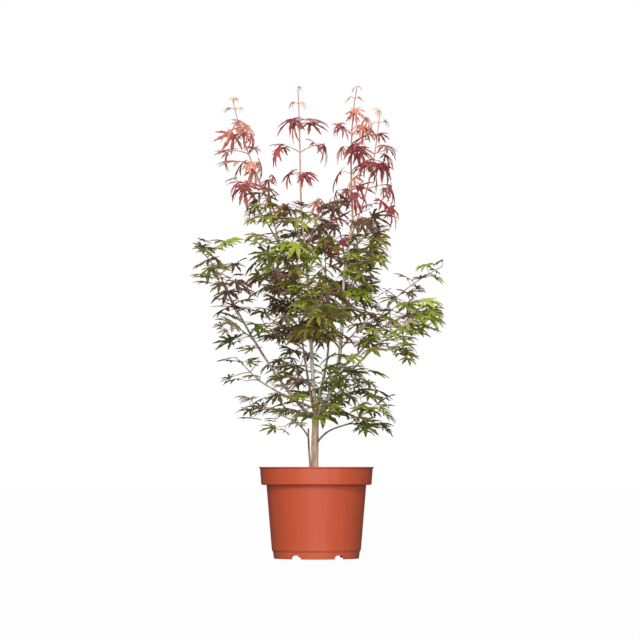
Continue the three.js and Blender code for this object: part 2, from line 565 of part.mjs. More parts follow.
// Whether straight pieces keep to the mass's space and clear of the limbs.
function piecesFit(pieces, mass) {
  return (
    pieces.every((piece) => samples(piece).every((point) => inSpace(point, mass))) &&
    pieces.every((piece) => limbPieces.every(({ ends, radius }) => between(piece, ends) > radius + LIMB_CLEARANCE))
  );
}

function leafPieces(leaf) {
  const lobes = LOBE_TURNS.map((turn, i) => [leaf.base, bladePoint(leaf, turn, LOBE_REACH[i])]);
  return [[leaf.node.clone().lerp(leaf.base, 0.4), leaf.base], ...lobes];
}

// Tries a leaf turned a little further and made a little smaller each time, until one fits.
function addLeaf(mass, band, node, way, size, keys) {
  for (let attempt = 0; attempt < LEAF_TRIES; attempt++) {
    const turned = way.clone().applyAxisAngle(UP, radians((attempt % 2 ? 1 : -1) * 4 * attempt));
    turned.z += within(0.05 * attempt, ...keys, attempt, 21);
    turned.normalize();
    const leaf = placeLeaf(node, turned, size * 0.98 ** attempt, mass.droop, [...keys, attempt]);
    const crowded = mass.leaves.some(
      (other) => other.base.distanceTo(leaf.base) < LEAF_SPACING * Math.min(leaf.length, other.length),
    );
    if (crowded || !piecesFit(leafPieces(leaf), mass)) continue;
    if (mass.skin.attempt(() => mass.skin.growLeaf(mass.skin.open(band, turned), leaf))) {
      mass.leaves.push(leaf);
      return true;
    }
  }
  return false;
}

// A side twig arches out from the stem, with a pair of leaves at each of its nodes.
function addTwig(mass, band, start, heading, length, keys) {
  const { skin } = mass;
  for (let reach = length; reach >= TWIG.shortest; reach *= 0.75) {
    const end = start.clone().addScaledVector(heading, reach).addScaledVector(UP, -TWIG.sag * reach);
    const curve = new THREE.QuadraticBezierCurve3(start, start.clone().addScaledVector(heading, reach / 2), end);
    const middle = curve.getPoint(0.5);
    const pieces = [
      [start.clone().lerp(middle, 0.6), middle],
      [middle, end],
    ];
    if (!piecesFit(pieces, mass)) continue;
    const count = Math.max(1, Math.round(reach / TWIG.internode));
    const shares = Array.from({ length: count }, (_, k) => (k + 1) / count);
    const leavesBefore = mass.leaves.length;
    const grown = skin.attempt(() => {
      const before = skin.triangles.length;
      const corners = skin.open(band, heading);
      if (!corners) return false;
      const bands = skin.growShoot(corners, { curve, radii: TWIG.radii, kind: TWIG }, shares);
      if (skin.crosses(before)) return false;
      framesAlong(curve, shares).forEach(({ point, along, side }, k) => {
        const last = k === count - 1;
        for (const hand of [1, -1]) {
          const way = along.clone().multiplyScalar(last ? 0.9 : 0.5).addScaledVector(side, 0.75 * hand);
          way.z = way.z * 0.6 + 0.14 + within(0.12, ...keys, k, hand + 3);
          const size = mass.leaf * (0.8 + 0.3 * draw(...keys, k, hand + 2));
          addLeaf(mass, bands[k], point, way.normalize(), size, [...keys, k, hand + 5]);
        }
      });
      return mass.leaves.length > leavesBefore;
    });
    if (grown) return true;
    mass.leaves.length = leavesBefore;
  }
  return false;
}

// Grows a mass: opposite pairs along the stem, each turned a quarter from the last.
function grow(mass, index) {
  const { curve, nodes, start, radii, skin } = mass;
  const shares = Array.from({ length: nodes }, (_, k) => start + (1 - start) * (1 - (1 - k / (nodes - 1)) ** 1.2));
  const bands = skin.growShoot(null, { curve, radii, kind: STEM }, shares);
  framesAlong(curve, shares).forEach(({ point, along, side, over }, k) => {
    const share = shares[k];
    const young = mass.top ? Math.min(2.2 * (1 - share) ** 1.5 + 0.2, 1) : 1 - 0.3 * share ** 4;
    for (const half of [0, 1]) {
      const keys = [index + 1, k, half];
      const angle = radians(90 * k + 180 * half + within(20, ...keys));
      const heading = side.clone().multiplyScalar(Math.cos(angle)).addScaledVector(over, Math.sin(angle));
      heading.addScaledVector(along, 0.4);
      heading.z = heading.z * 0.5 + mass.rise;
      heading.normalize();
      const length = mass.twig * (1 - 0.5 * share * share) * (0.75 + 0.5 * draw(...keys, 7));
      const size = mass.leaf * young * (0.85 + 0.25 * draw(...keys, 8));
      if (length > TWIG.shortest && k < nodes - 1 && addTwig(mass, bands[k], point, heading, length, keys)) continue;
      addLeaf(mass, bands[k], point, heading, size, [...keys, 9]);
    }
  });
}

function prepareMass(mass) {
  const limb = limbs[mass.on];
  const atTip = mass.at === undefined;
  const root = limb.curve.getPoint(atTip ? 1 : mass.at);
  if (atTip) root.addScaledVector(limb.curve.getTangent(1), GAP);
  const red = mass.colour === "red";
  Object.assign(mass, {
    curve: bezier(root, mass.bends, mass.tip),
    leaf: mass.leaf ?? (red ? RED_LEAF : FULL_LEAF),
    droop: mass.droop ?? (red ? 0.62 : 0.34),
    rise: red ? 0.45 : 0.12,
    top: red,
    radii: atTip ? [limb.radii[1] * 1.1, STEM.radii[1]] : STEM.radii,
    skin: new Skin(),
    leaves: [],
  });
  mass.line = mass.curve.getPoints(8);
}

function massSolid(mass, index) {
  grow(mass, index);
  return largestBody(mass.skin.toSolid().subtract(swollen));
}

// ---------- Assembly ----------
const tree = new THREE.Group();

function addMesh(name, solid, material) {
  const mesh = new THREE.Mesh(toGeometry(solid), material);
  mesh.name = name;
  tree.add(mesh);
}

addMesh("pot", makePot(), PLASTIC);
addMesh("soil", makeSoil(), COMPOST);

const limbs = {};
let swollen = null; // all limbs so far, each thicker by the gap
for (const spec of LIMBS) {
  const limb = layOut(spec, limbs);
  limbs[limb.name] = limb;
  const solid = limbTube(limb, 0);
  addMesh(limb.name, swollen ? largestBody(solid.subtract(swollen)) : solid, BARK);
  const thicker = limbTube(limb, GAP);
  swollen = swollen ? swollen.add(thicker) : thicker;
}

const limbPieces = Object.values(limbs).flatMap((limb) =>
  limb.points.slice(1).map((point, i) => ({ ends: [limb.points[i], point], radius: limb.radiiAt[i] })),
);

MASSES.forEach(prepareMass);
MASSES.forEach((mass, index) => addMesh(mass.name, massSolid(mass, index), LEAF_COLOURS[mass.colour ?? "green"]));

export default tree;
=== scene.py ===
# %% [markdown]
# # A young Japanese maple in its nursery pot
#
# A grafted or seedling maple is sold in a round plastic pot, with a short trunk that forks into a
# few upright leaders. Its boughs carry opposite twigs, and every twig ends in a spray of small
# palmate leaves. Old leaves inside the crown are green and bronze, and the new ones at the tops
# of the leaders are red.
#
# Everything is built around a fixed frame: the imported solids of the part, which give the sizes.
# The plant could be placed by hand, leaf by leaf, but a rule that grows it is quicker to change
# and gives the same plant on each run, so this lesson grows it.

# %% Load the frame
import math

import bmesh
import bpy
import numpy as np
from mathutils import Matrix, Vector, noise


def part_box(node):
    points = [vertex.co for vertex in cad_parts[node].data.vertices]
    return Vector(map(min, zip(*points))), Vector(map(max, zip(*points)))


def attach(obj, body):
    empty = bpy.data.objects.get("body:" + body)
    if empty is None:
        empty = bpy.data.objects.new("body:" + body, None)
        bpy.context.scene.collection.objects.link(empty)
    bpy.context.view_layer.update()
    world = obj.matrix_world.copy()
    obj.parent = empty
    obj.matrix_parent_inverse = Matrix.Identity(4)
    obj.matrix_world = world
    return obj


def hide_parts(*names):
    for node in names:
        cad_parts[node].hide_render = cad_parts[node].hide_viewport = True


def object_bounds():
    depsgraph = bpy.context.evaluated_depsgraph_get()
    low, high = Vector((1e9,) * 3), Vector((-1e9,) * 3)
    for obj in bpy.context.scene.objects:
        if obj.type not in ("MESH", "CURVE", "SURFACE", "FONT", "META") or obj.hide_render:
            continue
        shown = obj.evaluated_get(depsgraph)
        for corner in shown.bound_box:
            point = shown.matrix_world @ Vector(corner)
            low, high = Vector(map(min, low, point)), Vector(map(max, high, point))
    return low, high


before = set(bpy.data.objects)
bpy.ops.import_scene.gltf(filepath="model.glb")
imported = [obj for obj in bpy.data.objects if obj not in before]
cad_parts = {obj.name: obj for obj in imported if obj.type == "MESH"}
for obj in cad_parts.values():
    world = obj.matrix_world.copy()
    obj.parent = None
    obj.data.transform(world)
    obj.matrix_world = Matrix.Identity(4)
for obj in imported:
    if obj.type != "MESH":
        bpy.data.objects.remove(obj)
cad_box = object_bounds()
MM = 0.001
print("the frame holds", len(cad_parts), "solids")

# %% [markdown]
# ## Camera, light and floor
#
# A pot plant in a catalogue stands on white with soft light from all round. Three kinds of light
# could do this: an environment picture, a ring of lamps, or a pale world with a few wide area
# lamps. The last needs no image and leaves soft shading on the pot, so it is used here. A long
# lens keeps the pot's rim almost level, as it looks from a few metres away.

# %% Camera
def aim(thing, target):
    """Turns a camera or lamp towards a point."""
    thing.rotation_euler = (Vector(target) - thing.location).to_track_quat("-Z", "Y").to_euler()


SENSOR, LENS = 36, 170  # in millimetres; a long lens, as from a few metres away
EYE, LOOKED_AT = (0.0, -5.0, 0.14), (0.006, 0.0, 0.394)
camera = bpy.data.objects.new("camera", bpy.data.cameras.new("camera"))
bpy.context.scene.collection.objects.link(camera)
bpy.context.scene.camera = camera
camera.data.sensor_width, camera.data.lens, camera.data.clip_end = SENSOR, LENS, 60
camera.location = EYE
aim(camera, LOOKED_AT)
bpy.context.scene.view_settings.view_transform = "Standard"
print("the view is", round(SENSOR / LENS * camera.location.length, 3), "m wide at the pot")


# %% Lamps
def lamp(name, place, size, power):
    """A square area lamp that shines on the middle of the plant."""
    light = bpy.data.lights.new(name, "AREA")
    light.shape, light.size, light.energy = "SQUARE", size, power
    thing = bpy.data.objects.new(name, light)
    bpy.context.scene.collection.objects.link(thing)
    thing.location = place
    aim(thing, (0, 0, 0.4))
    thing.visible_camera = False


lamp("key_lamp", (-0.3, -3.1, 2.3), 0.9, 92)
lamp("front_lamp", (0.15, -5.6, 0.7), 1.6, 184)
lamp("back_lamp", (0.4, 1.5, 3.2), 1.6, 40)
print("three lamps")

# %% [markdown]
# ## Finishes as expressions
#
# A material is a graph of nodes. Wiring it by hand takes many lines that hide the sums, so one
# small class wraps a node's output and lets Python's own operators add the Math nodes. A finish
# then reads like a formula: `1 - mask`, or `0.4 + 0.1 * grain`.

# %% Sums of node outputs
def operator(operation, swapped=False):
    """A method that adds one Math node."""
    def both(one, other):
        terms = (other, one) if swapped else (one, other)
        return one.finish.node("ShaderNodeMath", {"operation": operation}, *terms)

    return both


class Value:
    """One output of a node, used in sums as if it were a number."""

    def __init__(self, finish, socket):
        self.finish, self.socket = finish, socket

    __add__ = __radd__ = operator("ADD")
    __mul__ = __rmul__ = operator("MULTIPLY")
    __rsub__ = operator("SUBTRACT", swapped=True)


print("a value adds its own Math nodes")

# %% A class for finishes
def linear(red, green, blue):
    """A colour from its usual 0 to 255 numbers to the linear ones that a shader needs."""
    def one(c):
        c /= 255
        return c / 12.92 if c <= 0.04045 else ((c + 0.055) / 1.055) ** 2.4

    return one(red), one(green), one(blue), 1.0


class Finish:
    """A material with one Principled shader, fed by numbers or by node outputs."""

    def __init__(self, name, **fixed):
        self.material = bpy.data.materials.new(name)
        self.material.use_nodes = True
        self.tree = self.material.node_tree
        self.shader = self.tree.nodes["Principled BSDF"]
        for socket, value in fixed.items():
            self.shader.inputs[socket.replace("_", " ")].default_value = value

    def give(self, socket, value):
        if isinstance(value, Value):
            self.tree.links.new(value.socket, socket)
        else:
            socket.default_value = value

    def node(self, kind, settings=None, *values, output=0, **named):
        """Any node: its settings first, then values or links for its sockets."""
        made = self.tree.nodes.new(kind)
        for key, value in (settings or {}).items():
            setattr(made, key, value)
        for socket, value in zip(made.inputs, values):
            self.give(socket, value)
        for key, value in named.items():
            self.give(made.inputs[key.replace("_", " ")], value)
        return Value(self, made.outputs[output])

    def place(self):
        """A point of the piece, in metres."""
        return self.node("ShaderNodeTexCoord", output="Object")

    def spread(self, stretch):
        """The point with each of its three numbers made larger, for a finer pattern."""
        return self.node("ShaderNodeVectorMath", {"operation": "MULTIPLY"}, self.place(), stretch)

    def noise(self, scale, detail=2.0, stretch=(1, 1, 1)):
        where = self.spread(stretch)
        return self.node("ShaderNodeTexNoise", Vector=where, Scale=scale, Detail=detail)

    def between(self, value, low, high):
        """0 below `low`, 1 above `high`, and smooth between them."""
        settings = {"interpolation_type": "SMOOTHSTEP"}
        return self.node("ShaderNodeMapRange", settings, Value=value, From_Min=low, From_Max=high)

    def mix(self, share, first, second):
        """The first colour where `share` is 0, and the second where it is 1."""
        made = self.tree.nodes.new("ShaderNodeMix")
        made.data_type = "RGBA"
        for index, value in ((0, share), (6, first), (7, second)):  # the sockets for colours
            self.give(made.inputs[index], value)
        return Value(self, made.outputs[2])

    def pattern(self, value, low, high, first, second, share=1.0):
        """Two colours, dealt out by where a value lies between two levels."""
        between = self.between(value, low, high)
        return self.mix(between if share == 1.0 else share * between, first, second)

    def set(self, **sockets):
        for socket, value in sockets.items():
            self.give(self.shader.inputs[socket.replace("_", " ")], value)
        return self

    def bump(self, height, strength, depth):
        """Raises the surface by `height` times `depth` metres."""
        normal = self.node("ShaderNodeBump", Height=height, Strength=strength, Distance=depth)
        return self.set(Normal=normal)


print("finishes are written as sums")

# %% World
world = bpy.data.worlds.new("pale_world")
bpy.context.scene.world = world
world.use_nodes = True


def seen_bright(tree, dim, out, bright):
    """Shows `bright` to the eye, while `dim` is what lights the scene."""
    path = tree.nodes.new("ShaderNodeLightPath")
    share = tree.nodes.new("ShaderNodeMixShader")
    tree.links.new(path.outputs["Is Camera Ray"], share.inputs[0])
    tree.links.new(dim.outputs[0], share.inputs[1])
    tree.links.new(bright.outputs[0], share.inputs[2])
    tree.links.new(share.outputs[0], out.inputs[0])


AMBIENT, MIRRORED = 0.52, 0.01  # the world's light on matt surfaces, and as a gloss shows it
nodes, links = world.node_tree.nodes, world.node_tree.links
soft, backdrop = nodes["Background"], nodes.new("ShaderNodeBackground")
ray, dimmer = nodes.new("ShaderNodeLightPath"), nodes.new("ShaderNodeMapRange")
dimmer.inputs["To Min"].default_value, dimmer.inputs["To Max"].default_value = AMBIENT, MIRRORED
links.new(ray.outputs["Is Glossy Ray"], dimmer.inputs["Value"])
links.new(dimmer.outputs[0], soft.inputs["Strength"])
for background in (soft, backdrop):
    background.inputs["Color"].default_value = (1, 1, 1, 1)
seen_bright(world.node_tree, soft, nodes["World Output"], backdrop)
print("the world lights the scene with", AMBIENT, "of the white that it shows")

# %% Pieces
def smooth(mesh, edge_angle=None):
    """Smooth shading, but with an edge where faces meet at more than `edge_angle` degrees."""
    mesh.polygons.foreach_set("use_smooth", [True] * len(mesh.polygons))
    if edge_angle:
        mesh.set_sharp_from_angle(angle=math.radians(edge_angle))


def mesh_piece(name, vertices, faces, *finishes, kinds=None, edge_angle=None):
    """An object from points in metres and faces, with its finishes and smooth shading."""
    mesh = bpy.data.meshes.new(name)
    mesh.from_pydata(np.asarray(vertices).tolist(), [], [list(face) for face in faces])
    mesh.validate()
    for finish in finishes:
        mesh.materials.append(finish.material)
    if kinds is not None:
        mesh.polygons.foreach_set("material_index", np.asarray(kinds, dtype=np.int32))
    smooth(mesh, edge_angle)
    mesh.update()
    piece = bpy.data.objects.new(name, mesh)
    bpy.context.scene.collection.objects.link(piece)
    return piece


print("a piece has points, faces and finishes")

# %% Floor
# The floor looks white but throws little light back, or it would bleach the pot's wall.
white = Finish("white_floor", Roughness=0.9)
greys = [(grey, grey, grey, 1) for grey in (0.14, 0.17)]
white.set(Base_Color=white.mix(white.noise(3.0), *greys))
glow = white.tree.nodes.new("ShaderNodeEmission")
glow.inputs["Strength"].default_value = 0.985
seen_bright(white.tree, white.shader, white.tree.nodes["Material Output"], glow)
corners = [(-20, -8, 0), (20, -8, 0), (20, 30, 0), (-20, 30, 0)]
floor = mesh_piece("floor", corners, [(0, 1, 2, 3)], white)
print("the floor is", tuple(round(side) for side in floor.dimensions[:2]), "m")

# %% [markdown]
# ## The pot
#
# A nursery pot is injection moulded from thin polypropylene. It has a deep collar under a rolled
# lip, a tapered wall with a rounded step at its foot, and a foot ring with arched notches that
# let the water out. A turned profile gives all of this but the notches. It could be made with a
# Screw modifier, but points that are worked out in code also let each corner have its own round,
# so the profile is rounded in Python, spun as a mesh, and the notches are cut with a Boolean.

# %% The pot's sizes, in millimetres
POT_HEIGHT, SOIL_TOP = 151.0, 136.35
POT_OUTSIDE = [  # radius, height and the round of each corner
    (68.9, 0.0, 0.3), (70.4, 0.0, 0.5), (71.6, 11.0, 0.6), (73.6, 14.4, 1.2),
    (82.5, 121.2, 0.9), (90.2, 121.2, 1.1), (91.3, 123.2, 0.5), (93.1, 147.4, 0.4),
    (93.3, 148.4, 0.3), (94.9, 149.0, 0.5), (94.9, 150.9, 0.7), (91.7, 150.9, 0.7),
]
POT_INSIDE = [
    (89.7, 124.0, 1.0), (81.0, 123.6, 0.8), (72.2, 14.5, 1.5), (68.8, 9.2, 1.0),
    (0.0, 9.1, 0.0), (0.0, 7.6, 0.0), (68.7, 7.6, 0.5),
]
print("the pot is", 2 * max(POT_OUTSIDE)[0], "mm across and", POT_HEIGHT, "mm high")

# %% Round the profile's corners
def arc_point(t, start, bend, end):
    """A point at the share `t` of a curve with one bend."""
    return (1 - t) ** 2 * start + 2 * t * (1 - t) * bend + t * t * end


def ray_at(angle):
    """The unit step in a direction on the level."""
    return np.array([math.cos(angle), math.sin(angle)])


def rounded(corners, steps=4):
    """A profile with a small arc in place of each corner."""
    line = []
    count = len(corners)
    for i, (radius, height, arc) in enumerate(corners):
        here = np.array([radius, height])
        if arc == 0:
            line.append(here)
            continue
        before = np.array(corners[i - 1][:2]) - here
        after = np.array(corners[(i + 1) % count][:2]) - here
        arc = min(arc, 0.45 * np.linalg.norm(before), 0.45 * np.linalg.norm(after))
        start = here + before / np.linalg.norm(before) * arc
        end = here + after / np.linalg.norm(after) * arc
        for t in np.linspace(0, 1, steps):
            line.append(arc_point(t, start, here, end))
    return line


pot_line = rounded(POT_OUTSIDE + POT_INSIDE)
print("the pot's profile has", len(pot_line), "points")

# %% Spin the profile
POT_TURNS = 192


def faces_between(low, high):
    """The faces between two rings of corners, either of which may be a single point."""
    faces, count = [], max(len(low), len(high))
    for k in range(count):
        after = (k + 1) % count
        corners = [low[k % len(low)], low[after % len(low)]]
        corners += [high[after % len(high)], high[k % len(high)]]
        faces.append(tuple(dict.fromkeys(corners)))
    return [face for face in faces if len(face) > 2]


def skinned(rows):
    """The faces along a list of rings."""
    return [face for low, high in zip(rows, rows[1:]) for face in faces_between(low, high)]


def spun(line, turns):
    """Spins a closed profile about the upright axis, and returns its points and faces."""
    vertices, rows = [], []
    for radius, height in line:
        count = turns if radius else 1
        rows.append(range(len(vertices), len(vertices) + count))
        for k in range(count):
            angle = 2 * math.pi * k / turns
            vertices.append((radius * math.cos(angle), radius * math.sin(angle), height))
    return np.array(vertices) * MM, skinned(rows + rows[:1])


pot_skin = spun(pot_line, POT_TURNS)
print(len(pot_skin[1]), "faces before the notches are cut")

# %% Moulded plastic
TERRACOTTA = linear(179, 71, 37)
plastic = Finish("terracotta_plastic", IOR=1.47, Specular_IOR_Level=0.6)
height = plastic.node("ShaderNodeSeparateXYZ", {}, plastic.place(), output="Z")
cloud = plastic.noise(14, 3, (1, 1, 0.5))
flow = plastic.noise(60, 4, (1, 1, 0.06))
speck = plastic.noise(900, 2)
pale = plastic.mix(cloud, TERRACOTTA, linear(182, 74, 42))
pale = plastic.pattern(flow, 0.45, 0.75, pale, linear(190, 88, 58), 0.35)
dust = plastic.between(height, 0.035, 0.0) * 0.22 + plastic.between(flow, 0.62, 0.8) * 0.12
plastic.set(Base_Color=plastic.mix(dust, pale, linear(180, 104, 74)))
plastic.set(Roughness=0.46 + 0.12 * cloud + 0.08 * flow)
plastic.bump(0.7 * flow + 0.3 * speck, 0.25, 0.0002)
print("the plastic has flow lines, dust at its foot and a fine grain")

# %% Bars in the shape of the notches and drain holes
def bar(start, end):
    """A closed bar between two equal outlines, in millimetres."""
    near, far = range(len(start)), range(len(start), 2 * len(start))
    return np.vstack([start, end]) * MM, [near[::-1], far, *faces_between(near, far)]


def arch(width=17, rise=6.4, steps=10):
    """A notch's outline, across and up: a flat opening under a low arch."""
    points = [(-width / 2, -2.0), (width / 2, -2.0)]
    for k in range(steps + 1):
        angle = math.pi * k / steps
        flat = math.copysign(abs(math.cos(angle)) ** 0.45, math.cos(angle))
        side = width / 2 * flat * (1 - 0.3 * math.sin(angle) ** 2)
        points.append((side, rise * math.sin(angle) ** 0.6))
    return points


NOTCHES, FIRST_NOTCH, NOTCH_REACH = 6, 32, (40, 90)
DRAIN_OUT, DRAIN_RADIUS, DRAIN_SIDES = 57, 5, 24
cutters = []
for k in range(NOTCHES):
    turn = math.radians(FIRST_NOTCH + 360 / NOTCHES * k) - math.pi / 2
    out, across = ray_at(turn), ray_at(turn) @ [(0, 1), (-1, 0)]
    ends = [[(*(out * far + across * side), up) for side, up in arch()] for far in NOTCH_REACH]
    cutters.append(mesh_piece(f"notch_{k}", *bar(*ends), plastic))
    middle = DRAIN_OUT * ray_at(turn + math.pi / NOTCHES)
    angles = np.linspace(0, 2 * math.pi, DRAIN_SIDES, endpoint=False)
    ends = [[(*(middle + DRAIN_RADIUS * ray_at(a)), up) for a in angles] for up in (4, 12)]
    cutters.append(mesh_piece(f"drain_{k}", *bar(*ends), plastic))
print(len(cutters), "bars")

# %% Cut them out of the pot
POT_EDGE_ANGLE = 38


def cut(piece, tools):
    """Cuts the tools out of the piece for good and removes them."""
    for tool in tools:
        modifier = piece.modifiers.new("cut", "BOOLEAN")
        modifier.operation, modifier.object, modifier.solver = "DIFFERENCE", tool, "EXACT"
    evaluated = piece.evaluated_get(bpy.context.evaluated_depsgraph_get())
    mesh = bpy.data.meshes.new_from_object(evaluated)
    piece.modifiers.clear()
    piece.data = mesh
    smooth(mesh, POT_EDGE_ANGLE)
    for tool in tools:
        bpy.data.objects.remove(tool)


def settle(piece, *nodes, slot=None):
    """Fixes a piece to the plant's one body and hides the solids that it stands for."""
    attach(piece, "root")
    if nodes:
        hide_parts(*nodes)
    return piece


pot = mesh_piece("plastic_pot", *pot_skin, plastic)
cut(pot, cutters)
settle(pot, "pot", slot="pot_plastic")
print("the pot has", len(pot.data.polygons), "faces")

# %% [markdown]
# ## The compost
#
# The pot is filled with peat and bark to a finger's breadth below its lip. A flat disc would look
# like card. A displaced surface gives the hollows, but not the loose look of crumbs, so small
# lumps of bark are strewn over it as well, all joined into one piece.

# %% Chance that repeats
def chance(*keys):
    """A repeatable number from 0 to 1 for any list of whole numbers."""
    mixed = 2166136261
    for key in keys:
        mixed = ((mixed ^ (key & 0xFFFFFFFF)) * 16777619) & 0xFFFFFFFF
        mixed ^= mixed >> 15
        mixed = (mixed * 2246822519) & 0xFFFFFFFF
    mixed ^= mixed >> 13
    return mixed / 4294967296


def within(reach, *keys):
    return reach * (2 * chance(*keys) - 1)


print("the keys 1, 2 and 3 always give", round(chance(1, 2, 3), 4))

# %% Compost
peat = Finish("damp_compost", Roughness=0.95)
crumbs = peat.noise(420, 4)
patch = peat.noise(35, 2)
dark = peat.pattern(patch, 0.35, 0.65, linear(42, 30, 22), linear(66, 47, 33))
tone = peat.pattern(crumbs, 0.55, 0.72, dark, linear(104, 76, 52))
peat.set(Base_Color=tone, Roughness=0.98 - 0.25 * crumbs).bump(crumbs, 0.8, 0.0012)
SOIL_EDGE, SOIL_LOW = 91.0, 130.3  # the top's radius, and its height at the pot's wall
SOIL_RISE, SLOPE = 4.0, 12  # how far it rises from there, and over what width


def compost_top(x, y):
    """The height of the compost at a place on its top, in millimetres."""
    edge = max(0.0, min(1.0, (SOIL_EDGE - math.hypot(x, y)) / SLOPE))
    rough = noise.fractal(Vector((x / 9, y / 9, 3.1)), 0.9, 2.1, 4)
    return SOIL_LOW + SOIL_RISE * edge + 1.1 * rough * edge


SOIL_SIDE = [
    (0.0, 9.6), (68.3, 9.6), (71.5, 15), (80.2, 122.5), (89.0, 124.0), (SOIL_EDGE, 131.0),
]
turns, rings = 160, 56
vertices, faces = spun(SOIL_SIDE, turns)
vertices = vertices.tolist()
del faces[-turns:]  # the spin closes the profile along its axis, which isn't wanted
rows = [range(len(vertices) - turns, len(vertices))]
for ring in range(rings):
    radius = SOIL_EDGE * (1 - (ring + 1) / (rings + 1))
    rows.append(range(len(vertices), len(vertices) + turns))
    for k in range(turns):
        x, y = radius * ray_at(2 * math.pi * k / turns)
        vertices.append((x * MM, y * MM, compost_top(x, y) * MM))
faces += [*skinned(rows), rows[-1]]
compost = mesh_piece("compost", vertices, faces, peat)
settle(compost, "soil", slot="compost")
print("the compost's top has", turns * rings, "points")

# %% Crumbs of bark
GOLDEN = 1.618  # an icosahedron's twelve corners stand in this ratio
CORNERS = np.array([(0, a, b * GOLDEN) for a in (1, -1) for b in (1, -1)]) / 1.902
CORNERS = np.vstack([CORNERS, CORNERS[:, [2, 0, 1]], CORNERS[:, [1, 2, 0]]])


def closed_faces(points):
    """The faces of the closed skin around a few points."""
    made = bmesh.new()
    for point in points:
        made.verts.new(point)
    made.verts.ensure_lookup_table()
    bmesh.ops.convex_hull(made, input=made.verts)
    made.verts.index_update()
    faces = [tuple(corner.index for corner in face.verts) for face in made.faces]
    made.free()
    return faces


CRUMB_FACES = closed_faces(CORNERS)
CRUMBS, STREWN, BARE_FOOT = 620, 87, 15  # how many, how far out, and clear of the trunk
vertices, faces, count = [], [], 0
for k in range(CRUMBS):
    x, y = STREWN * math.sqrt(chance(k, 2)) * ray_at(2 * math.pi * chance(k, 1))
    if math.hypot(x + 5, y + 4) < BARE_FOOT:
        continue
    size = 1.0 + 2.6 * chance(k, 3) ** 3
    shape = CORNERS * [1 + within(0.25, k, i, 4) for i in range(3)]
    shape = shape * np.array([[1 + within(0.3, k, i, 5)] for i in range(len(CORNERS))])
    shape = shape * (size, size * 0.7, size * 0.5)
    (a, b), (c, d) = ray_at(chance(k, 6) * 6.3), ray_at(within(0.5, k, 7))
    flat = np.array([(a, b, 0), (-b, a, 0), (0, 0, 1)])
    tilt = np.array([(1, 0, 0), (0, c, d), (0, -d, c)])
    vertices.append(shape @ tilt @ flat + (x, y, compost_top(x, y) + 0.25 * size))
    faces += [tuple(corner + len(CORNERS) * count for corner in face) for face in CRUMB_FACES]
    count += 1
chips = Finish("bark_crumb", Roughness=0.9)
tone = chips.noise(110, 2)
crumb = chips.pattern(tone, 0.38, 0.62, linear(58, 40, 28), linear(122, 88, 60))
chips.set(Base_Color=crumb).bump(chips.noise(900, 3), 0.6, 0.0005)
piece = mesh_piece("bark_crumbs", np.vstack(vertices) * MM, faces, chips, edge_angle=30)
settle(piece, slot="compost")
print(count, "crumbs")

# %% [markdown]
# ## Trunk and limbs
#
# The plant forks a hand's breadth above the compost into leaders, and thinner boughs spread from
# them. Each limb follows one Bezier curve from its root to its tip, so a table with one row for
# each limb describes the whole skeleton. A curve object with a bevel would give smooth tubes.
# Maple bark isn't quite smooth: it has shallow streaks, collars where a bough leaves, and rings
# at old buds, so each limb is swept as a mesh whose radius changes from point to point.

# %% The limbs' table, in millimetres
ROWS = [  # name, what it grows on and how far up, its two bends, its tip, and its radii
    ("trunk", None, [-2.5, 0, SOIL_TOP], [-3, 0, 172], [-2, 0, 210], [-1, 0, 245], 6.2, 5.4),
    ("leader_centre", "trunk", 0.94, [-11, 0, 340], [-10, 2, 470], [-24, 0, 556], 3.6, 1.7),
    ("leader_right", "trunk", 0.93, [66, 4, 304], [26, 8, 440], [61, 6, 556], 3.8, 1.7),
    ("leader_left", "leader_centre", 0.47, [-32, 6, 440], [-58, 10, 500], [-70, 8, 556], 2.3, 1.5),
    ("bough_left_long", "trunk", 0.84, [-35, -12, 254], [-92, -24, 330],
     [-150, -30, 446], 2.9, 1.4),
    ("bough_left_low", "leader_centre", 0.03, [-34, -32, 258], [-66, -42, 274],
     [-92, -46, 291], 1.9, 1.4),
    ("bough_right_spread", "leader_right", 0.3, [62, 12, 326], [80, 18, 350],
     [104, 22, 380], 2.3, 1.6),
    ("bough_right_lower", "leader_right", 0.17, [46, -16, 296], [66, -30, 318],
     [90, -38, 342], 2.1, 1.5),
    ("bough_right_low", "trunk", 0.45, [14, -8, 212], [28, -14, 214], [48, -18, 220], 1.7, 1.2),
    ("bough_centre", "trunk", 0.97, [3, -8, 272], [18, -14, 310], [20, -24, 350], 2.4, 1.6),
    ("bough_front", "trunk", 0.9, [6, -26, 262], [16, -48, 306], [20, -66, 352], 2.3, 1.5),
    ("bough_back", "trunk", 0.88, [-8, 28, 256], [-16, 48, 310], [-24, 66, 362], 2.4, 1.5),
    ("sprout", None, [-9.5, -8, SOIL_TOP], [-10, -9, 165], [-14, -9, 190], [-13, -9, 214], 2, 1.4),
]
print(len(ROWS), "limbs")

# %% Curves
def bezier(root, bends, tip):
    """A cubic Bezier curve as a function of the share of its length."""
    first, second, third, fourth = np.array([root, *bends, tip], dtype=float)

    def at(t):
        t = np.atleast_1d(t)[:, None]
        start = (1 - t) ** 3 * first + 3 * t * (1 - t) ** 2 * second
        return start + 3 * t * t * (1 - t) * third + t**3 * fourth

    shares = np.linspace(0, 1, 201)
    steps = np.linalg.norm(np.diff(at(shares), axis=0), axis=1)
    run = np.concatenate([[0], np.cumsum(steps)])

    def along(share):
        return at(np.interp(np.atleast_1d(share) * run[-1], run, shares))

    return along, run[-1], at


